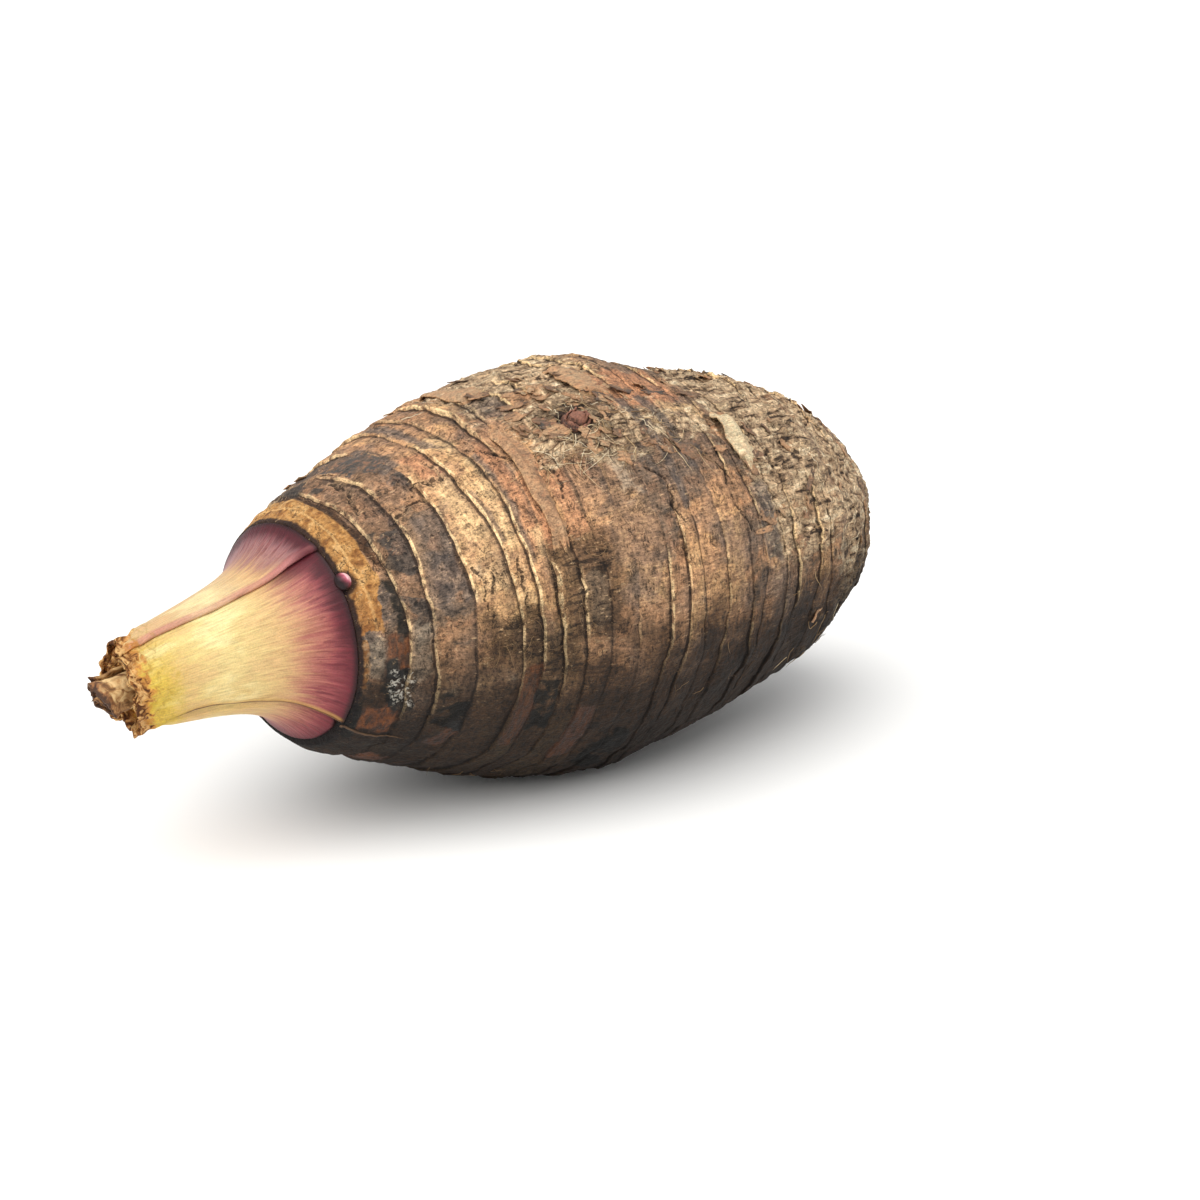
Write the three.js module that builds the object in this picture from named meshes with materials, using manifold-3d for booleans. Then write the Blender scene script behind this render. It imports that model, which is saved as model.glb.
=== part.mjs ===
// A taro root lying on its side: a ringed corm, the overlapping bases of its cut leaf stalks,
// two buds and the dry scales of husk that still cling to the corm.
// Millimetres, +Z up. +X runs from the leaf stalks to the tail, -Y is the side with the crown bud,
// and the origin is below the middle of the root, on the surface that it lies on.

import * as THREE from "three";
import { mergeVertices } from "three/addons/utils/BufferGeometryUtils.js";
import Module from "manifold-3d";

const wasm = await Module();
wasm.setup();

// Driving dimensions. Along the root, 0 is the crown, where the leaf stalks meet the corm.
const CORM_LENGTH = 216;
const CROWN_RADIUS = 33;
const WIDEST_RADIUS = 61.3;
const WIDEST_AT = 103;
const AXIS_HEIGHT = 60; // a little under the widest radius, so that the belly is cut flat
const TAIL_DROOP = 3.2;
const SCAR_STEP = 0.9; // how far a leaf scar stands above the band before it
const SCAR_WIDTH = 0.6;
const SCARS = [
  12, 21, 31.5, 43, 50.5, 57.5, 64, 72, 82, 92.5, 99.5,
  108, 117, 128, 134.5, 145.5, 151.5, 163, 170, 181.5, 188, 199,
];
const TAIL_STEPS = [206, 211.5, 214.8]; // where the outline bends between the last scar and the tip
const STALK_LENGTH = 60;
const STALK_TIP_RADIUS = 13;
const STALK_TAPER = 9; // how much wider the stalks are at the crown than at the tip
const FLARE = 10.4; // and how much more they spread just where they meet the corm
const FLARE_REACH = 9;
const FLARE_POWER = 1.3;
const STALK_LIFT = 0.6; // the stalks' axis leaves the crown this far above the corm's
const STALK_DROOP = 0.0012; // sag of the stalks per millimetre squared from the crown
const LEAF_THICKNESS = 2.5;
const LEAF_EDGE = 1.5;
const INNER_RIM = 57; // the innermost leaf base ends here, with a pocket in its tip
const POCKET_FLOOR = 51;
const POCKET_RADIUS = 8.2;
const POCKET_FLOOR_RADIUS = 7.6;
const HUSK_THICKNESS = 0.8;
const GAP = 0.4; // between pieces that touch

const CORM_SEGMENTS = 44;
const STALK_SEGMENTS = 32;
const STALK_STEPS = 10;
const STALK_CROWDING = 1.4; // above 1, the steps along the stalks crowd towards the crown, where they flare
const DEGREE = Math.PI / 180;

// Low swellings and hollows of the corm: place along it, angle from the top towards -Y,
// height, and how far each spreads along and around.
const SWELLINGS = [
  { along: 119, angle: -8, height: 1.7, length: 13, arc: 20 },
  { along: 140, angle: -4, height: -1.4, length: 12, arc: 20 },
  { along: 88, angle: 33, height: 1.6, length: 30, arc: 8 },
  { along: 176, angle: 60, height: 2.4, length: 15, arc: 30 },
  { along: 160, angle: -95, height: 2.2, length: 18, arc: 28 },
  { along: 60, angle: -110, height: 1.8, length: 20, arc: 24 },
];

function smoothStep(low, high, value) {
  const t = THREE.MathUtils.clamp((value - low) / (high - low), 0, 1);
  return t * t * (3 - 2 * t);
}

// Smallest angle between two directions round the root, in degrees.
function angleBetween(a, b) {
  return Math.abs(THREE.MathUtils.euclideanModulo(a - b + 180, 360) - 180);
}

// A quarter sine from the crown to the widest place, then a blunt curve to the tail.
function cormRadius(along) {
  if (along < WIDEST_AT) {
    const rise = Math.sin((Math.PI / 2) * (along / WIDEST_AT));
    return CROWN_RADIUS + (WIDEST_RADIUS - CROWN_RADIUS) * rise;
  }
  const tail = Math.min(1, (along - WIDEST_AT) / (CORM_LENGTH - WIDEST_AT));
  return WIDEST_RADIUS * Math.pow(1 - Math.pow(tail, 1.2), 0.33);
}

function swelling(along, angle) {
  return SWELLINGS.reduce((sum, s) => {
    const far = ((along - s.along) / s.length) ** 2 + (angleBetween(angle, s.angle) / s.arc) ** 2;
    return sum + s.height * Math.exp(-far);
  }, 0);
}

// A point at a radius and an angle round the corm's axis, which droops towards the tail.
function pointOnCorm(along, radius, angle) {
  const droop = TAIL_DROOP * smoothStep(WIDEST_AT, CORM_LENGTH, along);
  return new THREE.Vector3(
    along,
    -radius * Math.sin(angle * DEGREE),
    AXIS_HEIGHT - droop + radius * Math.cos(angle * DEGREE),
  );
}

// The corm's own surface, raised by a height.
function cormSurface(along, angle, height) {
  return pointOnCorm(along, cormRadius(along) + swelling(along, angle) + height, angle);
}

// The stalks narrow evenly, and flare where they meet the crown. away is the distance from the crown.
function stalkRadius(away) {
  const taper = STALK_TAPER * (1 - away / STALK_LENGTH);
  const flare = FLARE * Math.exp(-Math.pow(away / FLARE_REACH, FLARE_POWER));
  return STALK_TIP_RADIUS + taper + flare;
}

function pointOnStalk(away, radius, angle) {
  return new THREE.Vector3(
    -away,
    -radius * Math.sin(angle * DEGREE),
    AXIS_HEIGHT + STALK_LIFT - STALK_DROOP * away ** 2 + radius * Math.cos(angle * DEGREE),
  );
}

function moved(geometry, place) {
  const position = geometry.getAttribute("position");
  const vertex = new THREE.Vector3();
  for (let i = 0; i < position.count; i++) {
    vertex.fromBufferAttribute(position, i);
    const target = place(vertex);
    position.setXYZ(i, target.x, target.y, target.z);
  }
  geometry.deleteAttribute("normal");
  geometry.deleteAttribute("uv");
  return mergeVertices(geometry, 1e-3);
}

// A solid turned round the root from an outline of [along, radius], then placed point by point.
function turned(outline, segments, place) {
  const points = outline.map(([along, radius]) => new THREE.Vector2(radius, along));
  const lathe = new THREE.LatheGeometry(points, segments);
  return moved(lathe, (v) => place(v.y, Math.hypot(v.x, v.z), Math.atan2(v.x, v.z) / DEGREE));
}

// A curved sheet with thickness. place(around, along, depth) is given three shares from 0 to 1.
function curvedSheet(stepsAround, stepsAlong, place) {
  const box = new THREE.BoxGeometry(1, 1, 1, stepsAround, stepsAlong, 1);
  return moved(box, (v) => place(v.x + 0.5, v.y + 0.5, v.z + 0.5));
}

function solidOf(geometry) {
  const vertProperties = new Float32Array(geometry.getAttribute("position").array);
  const triVerts = new Uint32Array(geometry.index.array);
  return new wasm.Manifold(new wasm.Mesh({ numProp: 3, vertProperties, triVerts }));
}

function geometryOf(solid) {
  const mesh = solid.getMesh();
  const geometry = new THREE.BufferGeometry();
  geometry.setAttribute("position", new THREE.BufferAttribute(mesh.vertProperties, 3));
  geometry.setIndex(new THREE.BufferAttribute(mesh.triVerts, 1));
  geometry.computeVertexNormals();
  return geometry;
}

// The corm's outline steps up at each leaf scar and sinks slowly to the next one.
function cormOutline() {
  const outline = [[0, 0], [0, CROWN_RADIUS * 0.55], [0, CROWN_RADIUS - 1], [0.6, CROWN_RADIUS + 0.2]];
  for (const scar of SCARS) {
    outline.push([scar - SCAR_WIDTH / 2, cormRadius(scar)]);
    outline.push([scar + SCAR_WIDTH / 2, cormRadius(scar) + SCAR_STEP]);
  }
  for (const along of TAIL_STEPS) outline.push([along, cormRadius(along)]);
  outline.push([CORM_LENGTH, 0]);
  return outline;
}

// Swellings fade at the two poles, and the scar steps fade on the belly.
function cormPoint(along, radius, angle) {
  const body = cormRadius(along);
  const share = Math.min(1, radius / 12);
  const step = Math.max(0, radius - body);
  const onBelly = 1 - smoothStep(18, 34, angleBetween(angle, 180));
  const wanted = Math.min(radius, body) + step * (1 - onBelly);
  return pointOnCorm(along, wanted + share * swelling(along, angle), angle);
}

function makeCorm() {
  const body = solidOf(turned(cormOutline(), CORM_SEGMENTS, cormPoint));
  const under = new THREE.BoxGeometry(2 * CORM_LENGTH, 4 * WIDEST_RADIUS, WIDEST_RADIUS);
  under.translate(WIDEST_AT, 0, -WIDEST_RADIUS / 2);
  const surface = solidOf(moved(under, (v) => v.clone()));
  return geometryOf(body.subtract(surface));
}

// Distance from the crown of one of the steps along the stalks, for a share of the way to the given end.
function stalkStep(share, end) {
  return GAP + (end - GAP) * share ** STALK_CROWDING;
}

// The innermost leaf base, with its pocket. It is full size where it shows, low on the -Y side, and leaves
// room for the others where they wrap over it.
function makeInnerLeafBase() {
  const outline = [[POCKET_FLOOR, 0], [POCKET_FLOOR, POCKET_FLOOR_RADIUS], [INNER_RIM, POCKET_RADIUS]];
  for (let i = STALK_STEPS; i >= 0; i--) {
    const away = stalkStep(i / STALK_STEPS, INNER_RIM);
    outline.push([away, stalkRadius(away)]);
  }
  outline.push([GAP, stalkRadius(GAP) * 0.6]);
  outline.push([GAP, 0]);
  const covered = LEAF_THICKNESS + GAP;
  return turned(outline, STALK_SEGMENTS, (away, radius, angle) => {
    const shows = 1 - smoothStep(29, 37, angleBetween(angle, 168));
    const room = covered - (covered - GAP) * shows;
    const isOutside = radius > POCKET_RADIUS + GAP;
    return pointOnStalk(away, isOutside ? radius - room : radius, angle);
  });
}

// A leaf base wrapped over the inner one, between two angles. Its long edges are thin.
function makeLeafBase(from, to, stepsAround) {
  return curvedSheet(stepsAround, STALK_STEPS - 1, (around, along, depth) => {
    const away = stalkStep(1 - along, STALK_LENGTH);
    const edge = Math.min(around, 1 - around) * (to - from);
    const thickness = LEAF_EDGE + (LEAF_THICKNESS - LEAF_EDGE) * smoothStep(0, 20, edge);
    const radius = stalkRadius(away) - thickness * (1 - depth);
    return pointOnStalk(away, radius, from + (to - from) * around);
  });
}

// The youngest stalk, rolled, cut short and dried, standing out of the pocket of the inner leaf base.
function makeHeartStalk() {
  const foot = POCKET_FLOOR + GAP;
  const outline = [[70.5, 0], [71.2, 4.5], [68, 7], [62, 7.4], [56, 7.2], [foot, 6.8], [foot, 0]];
  return turned(outline, 20, pointOnStalk);
}

// A bud is an egg shape round a point, with its own up direction turned this many degrees towards -Y.
function makeBud(radii, centre, angle) {
  const egg = new THREE.SphereGeometry(1, 16, 12);
  const turn = new THREE.Matrix4().makeRotationX(angle * DEGREE);
  return moved(egg, (v) => v.clone().multiply(radii).applyMatrix4(turn).add(centre));
}

// The crown bud is wedged in the corner between the leaf bases and the corm.
function makeCrownBud() {
  const centre = pointOnCorm(-0.6, CROWN_RADIUS + 3.2, 50);
  return makeBud(new THREE.Vector3(2.6, 2.5, 2.5), centre, 50);
}

// The side bud is cut to the corm, just clear of its scars.
function makeSideBud() {
  const centre = cormSurface(84, 28.5, SCAR_STEP + 0.6);
  const egg = makeBud(new THREE.Vector3(4.6, 4, 4.4), centre, 28.5);
  const bedOutline = cormOutline().map(([along, radius]) => [along, radius ? radius + GAP : 0]);
  const bed = turned(bedOutline, CORM_SEGMENTS, cormPoint);
  return geometryOf(solidOf(egg).subtract(solidOf(bed)));
}

// Dry husk: each scale spans these places along the corm and these angles, and lies just over the scars.
const HUSK_SCALES = {
  husk_scale_side: { along: [58.5, 71.5], angle: [17, 63] },
  husk_scale_crown: { along: [21.5, 33.5], angle: [-20, 12] },
  husk_scale_ridge: { along: [64.5, 76], angle: [-24, 4] },
  husk_scale_top: { along: [93, 107], angle: [2, 20] },
  husk_scale_tail: { along: [135.5, 147], angle: [32, 52] },
  husk_scale_back: { along: [74, 89], angle: [-84, -48] },
};

function makeHuskScale({ along: [low, high], angle: [from, to] }) {
  const lift = SCAR_STEP + GAP;
  return curvedSheet(8, 3, (around, share, depth) => {
    const place = low + (high - low) * share;
    return cormSurface(place, from + (to - from) * around, lift + HUSK_THICKNESS * depth);
  });
}

const finishes = {
  skin: { color: 0x80634a, roughness: 0.82 },
  husk: { color: 0x6b5138, roughness: 0.88 },
  leafBase: { color: 0xd9b983, roughness: 0.5 },
  driedStalk: { color: 0x7a4d2b, roughness: 0.85 },
  pinkBud: { color: 0xb0728a, roughness: 0.4 },
  brownBud: { color: 0x5b3f34, roughness: 0.75 },
};

const root = new THREE.Group();

function add(name, geometry, finish) {
  const material = new THREE.MeshStandardMaterial({ ...finishes[finish], metalness: 0 });
  const mesh = new THREE.Mesh(geometry, material);
  mesh.name = name;
  root.add(mesh);
}

add("corm", makeCorm(), "skin");
add("leaf_base_inner", makeInnerLeafBase(), "leafBase");
add("leaf_base_front", makeLeafBase(23, 128, 14), "leafBase");
add("leaf_base_upper", makeLeafBase(-154, 22, 20), "leafBase");
add("heart_stalk", makeHeartStalk(), "driedStalk");
add("crown_bud", makeCrownBud(), "pinkBud");
add("side_bud", makeSideBud(), "brownBud");
for (const [name, span] of Object.entries(HUSK_SCALES)) add(name, makeHuskScale(span), "husk");

// The crown is at 0 along the root, and the origin is under the middle of the whole.
const box = new THREE.Box3().setFromObject(root);
const middle = box.getCenter(new THREE.Vector3());
root.position.set(-middle.x, -middle.y, -box.min.z);

export default root;
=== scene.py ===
# %% [markdown]
# # A taro root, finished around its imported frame
#
# The root lies on its side. A ringed, bark-covered corm ends in the cut bases of its leaf stalks. The frame
# already holds every piece as a plain solid in its right place and size, so this file never moves anything:
# it hides each plain solid and puts a finely worked surface in its place.
#
# Lengths are worked out in millimetres, because that is how a root is measured on a bench, and turned into
# metres at the last moment. Places on the root are given as on a globe: `along` runs from the crown, where
# the leaf stalks meet the corm, and `angle` turns round it in degrees, 0 on top and 90 on the -Y side.

import bpy
import numpy as np
from mathutils import Matrix, Vector


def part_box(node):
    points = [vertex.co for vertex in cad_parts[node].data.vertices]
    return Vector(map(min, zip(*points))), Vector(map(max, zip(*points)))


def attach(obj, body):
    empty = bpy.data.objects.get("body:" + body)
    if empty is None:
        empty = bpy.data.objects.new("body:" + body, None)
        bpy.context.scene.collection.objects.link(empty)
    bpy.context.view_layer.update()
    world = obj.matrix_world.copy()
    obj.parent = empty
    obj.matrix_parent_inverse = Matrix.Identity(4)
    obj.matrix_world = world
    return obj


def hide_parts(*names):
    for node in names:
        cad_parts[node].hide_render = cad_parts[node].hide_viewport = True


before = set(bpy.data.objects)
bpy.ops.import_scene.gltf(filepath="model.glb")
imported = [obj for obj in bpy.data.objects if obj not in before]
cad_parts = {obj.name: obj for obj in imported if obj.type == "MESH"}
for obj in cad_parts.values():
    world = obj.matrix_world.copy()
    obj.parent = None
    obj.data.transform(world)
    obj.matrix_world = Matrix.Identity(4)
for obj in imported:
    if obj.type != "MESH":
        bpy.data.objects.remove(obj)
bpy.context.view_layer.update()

print("packed nodes:", ", ".join(sorted(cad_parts)))

# %% The lengths that every piece shares
MM = 0.001
corm_low, corm_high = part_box("corm")
heart_low, heart_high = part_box("heart_stalk")
front_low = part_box("leaf_base_front")[0]

CROWN_X = corm_low.x / MM
AXIS_Y = (heart_low.y + heart_high.y) / 2 / MM
CORM_LENGTH = (corm_high.x - corm_low.x) / MM
STALK_LENGTH = CROWN_X - front_low.x / MM
HEART_LENGTH = CROWN_X - heart_low.x / MM
AXIS_HEIGHT = 60.0
CROWN_RADIUS = 33.0
WIDEST_RADIUS = 61.3
WIDEST_AT = 103.0
TAIL_DROOP = 3.2
STALK_SAG = 0.0012
STALK_LIFT = 0.6

# Where the two buds sit: along and angle.
CROWN_BUD = (-0.2, 50.0)
SIDE_BUD = (84.2, 28.5)
print(f"corm {CORM_LENGTH:.1f} mm long, stalks {STALK_LENGTH:.1f} mm, heart reaches {HEART_LENGTH:.1f} mm")

# %% [markdown]
# ## Tools: random fields and smooth steps
#
# Bark, lumps and torn edges are all irregular, but not without order: big bumps carry smaller ones. A
# lattice of random numbers, blended smoothly between its points and added up at several sizes, has that
# character. It is worked out for whole arrays of points at once, and it comes from one seeded table, so that
# the root is the same root each time.

# %% Random fields
LATTICE = np.random.default_rng(11).uniform(-1, 1, (32, 32, 32))


def smooth_step(low, high, value):
    """0 below low and 1 above high, and between them 3t² - 2t³, where t is the share of the way."""
    t = np.clip((value - low) / (high - low), 0, 1)
    return t * t * (3 - 2 * t)


def angle_between(a, b):
    """The smaller angle between two directions round the root, in degrees."""
    return np.abs((a - b + 180) % 360 - 180)


def cloud(points, size, seed=0):
    """A smooth random field from -1 to 1. Random values stand on a lattice whose cells have this size, and
    inside a cell the eight corner values are blended by 6t⁵ - 15t⁴ + 10t³ along each axis."""
    scaled = points / np.asarray(size, float) + 7.3 * seed
    cell = np.floor(scaled).astype(int)
    t = scaled - cell
    t = t ** 3 * (t * (6 * t - 15) + 10)
    total = 0
    for corner in np.ndindex(2, 2, 2):
        weight = np.prod(np.where(corner, t, 1 - t), axis=-1)
        i, j, k = np.moveaxis((cell + np.array(corner)) % 32, -1, 0)
        total = total + weight * LATTICE[i, j, k]
    return total


def clouds(points, size, layers, seed=0):
    """The cloud of this size, plus half as much of one half as large, and so on for the number of layers."""
    return sum(cloud(points, np.asarray(size) / 2 ** n, seed + n) / 2 ** n for n in range(layers))


# %% [markdown]
# ## Tools: from arrays to closed meshes
#
# Every piece is a grid of points worked out from two parameters. A grid becomes a closed body in one of two
# ways: a skin that goes all the way round and shrinks to a point at both ends, or a thin shell, which is an
# outer and an inner sheet joined along their four borders. The sign of the enclosed volume tells whether the
# faces look outwards, and if they don't, all of them are turned over.

# %% Mesh helpers
def quads(index):
    """The four-sided faces of a grid of vertex numbers, one row of four numbers for each face."""
    corners = [index[:-1, :-1], index[1:, :-1], index[1:, 1:], index[:-1, 1:]]
    return np.stack(corners, -1).reshape(-1, 4)


def skin_part(rows, ends=None):
    """A skin from rows of points with shape (rows, columns, 3). The last column joins the first, and each
    end closes on one point: the middle of its row, or the point given for it."""
    count, columns = rows.shape[:2]
    ends = rows[[0, -1]].mean(1) if ends is None else ends
    index = np.arange(count * columns).reshape(count, columns)
    index = np.concatenate([index, index[:, :1]], 1)
    poles = np.full((2, columns + 1), count * columns) + np.arange(2)[:, None]
    index = np.concatenate([poles[:1], index, poles[1:]], 0)
    return np.concatenate([rows.reshape(-1, 3), ends]), quads(index)


def shell_part(outer, inner):
    """A thin closed shell from two sheets with the same number of rows and columns."""
    count, columns = outer.shape[:2]
    index = np.arange(count * columns).reshape(count, columns)
    border = np.concatenate([index[0, :-1], index[:-1, -1], index[-1, :0:-1], index[::-1, 0]])
    rim = quads(np.stack([border, border + count * columns]))[:, ::-1]
    faces = np.concatenate([quads(index), quads(index)[:, ::-1] + count * columns, rim])
    return np.concatenate([outer.reshape(-1, 3), inner.reshape(-1, 3)]), faces


def joined(parts):
    """Several (points, faces) parts as one, each part's vertex numbers moved on past those before it."""
    starts = np.cumsum([0] + [len(points) for points, _ in parts[:-1]])
    faces = [part_faces + start for (_, part_faces), start in zip(parts, starts)]
    return np.concatenate([points for points, _ in parts]), np.concatenate(faces)


def outward(points, faces):
    """The faces, turned over if the volume they enclose, a sum of signed pyramids, is negative."""
    a, b, c, d = (points[faces[:, n]] for n in range(4))
    volume = np.sum(a * np.cross(b, c)) + np.sum(a * np.cross(c, d))
    return faces if volume > 0 else faces[:, ::-1]


def make_piece(name, part, finish, slot, replaces=(), uv=None, **fields):
    """A Blender object from a part. Each field is one number for each vertex, which the finish can read by
    its name, and uv is two. A face with a corner twice over becomes a triangle."""
    points, faces = part
    faces = outward(points, faces)
    following = np.roll(faces, -1, axis=1)
    keep = faces != following
    mesh = bpy.data.meshes.new(name)
    mesh.vertices.add(len(points))
    mesh.vertices.foreach_set("co", (points * MM).astype(np.float32).ravel())
    corners = keep.sum(1)
    mesh.loops.add(int(corners.sum()))
    mesh.loops.foreach_set("vertex_index", faces[keep].astype(np.int32))
    mesh.polygons.add(len(faces))
    mesh.polygons.foreach_set("loop_start", np.concatenate([[0], np.cumsum(corners)[:-1]]).astype(np.int32))
    mesh.update(calc_edges=True)
    mesh.shade_smooth()
    for field, values in fields.items():
        layer = mesh.attributes.new(field, "FLOAT", "POINT")
        layer.data.foreach_set("value", np.asarray(values, np.float32).ravel())
    if uv is not None:
        layer = mesh.uv_layers.new(name="Skin")
        layer.data.foreach_set("uv", uv[faces[keep]].astype(np.float32).ravel())
    mesh.materials.append(finish)
    piece = bpy.data.objects.new(name, mesh)
    bpy.context.scene.collection.objects.link(piece)
    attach(piece, "root")
    if replaces:
        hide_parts(*replaces)
    print(f"{name}: {len(points)} vertices, {len(faces)} faces")


# %% [markdown]
# ## Tools: finishes written as sums
#
# A finish is a net of nodes. Wired up by hand it is hard to read, so a small class stands for one wire and
# lets Python's own signs add the Math nodes: `1 - mask` makes one node, and the line says what it does.
# Colours never go through Math, which would turn them grey; they are mixed with a Mix node.

# %% A wire that can be added and multiplied
def paint(code):
    """A colour written as six hexadecimal digits, turned from screen values to the light it sends back."""
    screen = np.array([int(code[n:n + 2], 16) / 255 for n in (0, 2, 4)])
    light = np.where(screen <= 0.04045, screen / 12.92, ((screen + 0.055) / 1.055) ** 2.4)
    return (*light.tolist(), 1.0)


class Wire:
    """One output of a node in a finish. The operators add Math nodes, and the methods any other node."""

    def __init__(self, tree, socket=None):
        self.tree, self.socket = tree, socket

    def node(self, kind, settings=None, inputs=None, output=0):
        """Adds a node of a kind, with its settings and then the values or wires of its inputs."""
        made = self.tree.nodes.new("ShaderNode" + kind)
        for key, value in (settings or {}).items():
            if key == "stops":
                ramp = made.color_ramp
                while len(ramp.elements) < len(value):
                    ramp.elements.new(1)
                for element, (place, colour) in zip(ramp.elements, value):
                    element.position, element.color = place, paint(colour)
            else:
                setattr(made, key, value)
        for key, value in (inputs or {}).items():
            if isinstance(value, Wire):
                self.tree.links.new(value.socket, made.inputs[key])
            else:
                made.inputs[key].default_value = value
        return Wire(self.tree, made.outputs[output])

    def math(self, operation, *values):
        """A Math node on these wires or numbers."""
        return self.node("Math", {"operation": operation}, dict(enumerate(values)))

    def vector(self, operation, *values):
        """A Vector Math node on these wires or triples."""
        return self.node("VectorMath", {"operation": operation}, dict(enumerate(values)))

    def __add__(self, other):
        return self.math("ADD", self, other)

    def __sub__(self, other):
        return self.math("SUBTRACT", self, other)

    def __rsub__(self, other):
        return self.math("SUBTRACT", other, self)

    def __mul__(self, other):
        return self.math("MULTIPLY", self, other)

    __radd__, __rmul__ = __add__, __mul__

    def step(self, low, high):
        """0 where the wire is below low and 1 where it is above high, smooth between them."""
        ends = {"Value": self, "From Min": low, "From Max": high}
        return self.node("MapRange", {"interpolation_type": "SMOOTHSTEP"}, ends)

    def at_most(self, other):
        """The smaller of the two at each place."""
        return self.math("MINIMUM", self, other)

    def at_least(self, other):
        """The larger of the two at each place."""
        return self.math("MAXIMUM", self, other)

    def colour_ramp(self, *stops):
        """A colour that goes through these stops as the wire rises. A stop is a place from 0 to 1 and a
        colour's six digits."""
        return self.node("ValToRGB", {"stops": stops}, {0: self})

    def over(self, *layers):
        """This colour with layers laid over it in turn. Each is a colour, as a wire or as six digits, and a
        mask, which is 1 wherever the layer covers."""
        result = self
        for colour, mask in layers:
            colour = paint(colour) if isinstance(colour, str) else colour
            result = self.node("Mix", {"data_type": "RGBA"}, {0: mask, 6: result, 7: colour}, 2)
        return result

    def scaled(self, amount):
        """This colour or place multiplied by a number or a grey wire, which may go above 1."""
        return self.node("VectorMath", {"operation": "SCALE"}, {0: self, "Scale": amount})


class Finish(Wire):
    """A material being made. It starts with the piece's own places, and ends with its shader."""

    def __init__(self, name):
        self.material = bpy.data.materials.new(name)
        self.material.use_nodes = True
        tree = self.material.node_tree
        tree.nodes.clear()
        super().__init__(tree)
        self.place = self.node("TexCoord", output="Object")

    def field(self, name):
        """A number that the mesh carries at each vertex."""
        return self.node("Attribute", {"attribute_name": name}, output="Fac")

    def height(self):
        """Height above the floor in millimetres."""
        return self.node("SeparateXYZ", {}, {0: self.place}, 2) * (1 / MM)

    def noise(self, size, detail=3.0, stretch=(1, 1, 1), warp=0.0, shift=0.0, place=None):
        """A cloudy field from 0 to 1 with blotches of about size millimetres, drawn out by stretch."""
        stretched = self.vector("MULTIPLY", place or self.place, tuple(1 / s for s in stretch))
        moved = self.vector("ADD", stretched, (shift, shift, shift))
        knobs = {"Vector": moved, "Scale": 1 / (size * MM), "Detail": detail, "Distortion": warp}
        return self.node("TexNoise", {}, knobs)

    def cells(self, size):
        """How far each place is from the middle of its cell, in cells of about size millimetres."""
        return self.node("TexVoronoi", {}, {"Vector": self.place, "Scale": 1 / (size * MM)})

    def finished(self, colour, roughness, height, depth, **constants):
        """The material with this colour, roughness and relief, whose height of 1 stands depth millimetres
        proud. The constants are set on the shader's own sockets."""
        bump = self.node("Bump", {}, {"Strength": 1.0, "Distance": depth * MM, "Height": height})
        inputs = {"Base Color": colour, "Roughness": roughness, "Normal": bump, **constants}
        shader = self.node("BsdfPrincipled", {}, inputs)
        output = self.tree.nodes.new("ShaderNodeOutputMaterial")
        self.tree.links.new(shader.socket, output.inputs["Surface"])
        return self.material


# %% [markdown]
# ## Camera, floor and light
#
# The root is seen a little from above and from the stalks' side, through a long lens that keeps it from
# looking distorted. One wide soft sun from the upper left shapes it, and a pale sky fills the shadows. The
# sun is used rather than a lamp because it lights the whole floor evenly, so that the floor runs into the
# background without an edge.

# %% Camera
CAMERA_TURN = np.radians(-41.33)
CAMERA_TILT = np.radians(18.05)
CAMERA_DISTANCE = 1200.0
AIM_ALONG = 80.0
AIM_LEFT, AIM_UP = 29.4, 6.5
LENS, SENSOR = 120.0, 36.0

right = Vector((np.cos(CAMERA_TURN), np.sin(CAMERA_TURN), 0))
back = Vector((np.sin(CAMERA_TURN) * np.cos(CAMERA_TILT), -np.cos(CAMERA_TURN) * np.cos(CAMERA_TILT),
               np.sin(CAMERA_TILT)))
up = back.cross(right)
aim = Vector((CROWN_X + AIM_ALONG, AXIS_Y, AXIS_HEIGHT))
eye = aim + AIM_LEFT * right - AIM_UP * up + CAMERA_DISTANCE * back

camera_data = bpy.data.cameras.new("camera")
camera_data.lens, camera_data.sensor_width = LENS, SENSOR
camera_data.clip_start, camera_data.clip_end = 0.01, 50
camera = bpy.data.objects.new("camera", camera_data)
camera.matrix_world = Matrix.Translation(eye * MM) @ Matrix((right, up, back)).transposed().to_4x4()
bpy.context.scene.collection.objects.link(camera)
bpy.context.scene.camera = camera
print("camera at", [round(x * MM, 3) for x in eye])

# %% Light
SUN_FROM = Vector((-0.50, -0.22, 1.0))
SUN_STRENGTH, SUN_SPREAD = 2.8, np.radians(75)
SKY_STRENGTH = 0.72

sun_data = bpy.data.lights.new("sun", "SUN")
sun_data.energy, sun_data.angle = SUN_STRENGTH, SUN_SPREAD
sun_data.color = (1.0, 0.985, 0.96)
sun = bpy.data.objects.new("sun", sun_data)
sun.rotation_mode = "QUATERNION"
sun.rotation_quaternion = SUN_FROM.to_track_quat("Z", "Y")
bpy.context.scene.collection.objects.link(sun)

sky = bpy.data.worlds.new("sky")
sky.use_nodes = True
sky_net = Wire(sky.node_tree)
seen = sky_net.node("LightPath", output="Is Camera Ray")
strength = seen * (1 - SKY_STRENGTH) + SKY_STRENGTH
sky_light = sky_net.node("Background", {}, {"Color": (1, 1, 1, 1), "Strength": strength})
sky.node_tree.links.new(sky_light.socket, sky.node_tree.nodes["World Output"].inputs["Surface"])
bpy.context.scene.world = sky
bpy.context.scene.view_settings.view_transform = "Standard"

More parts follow.
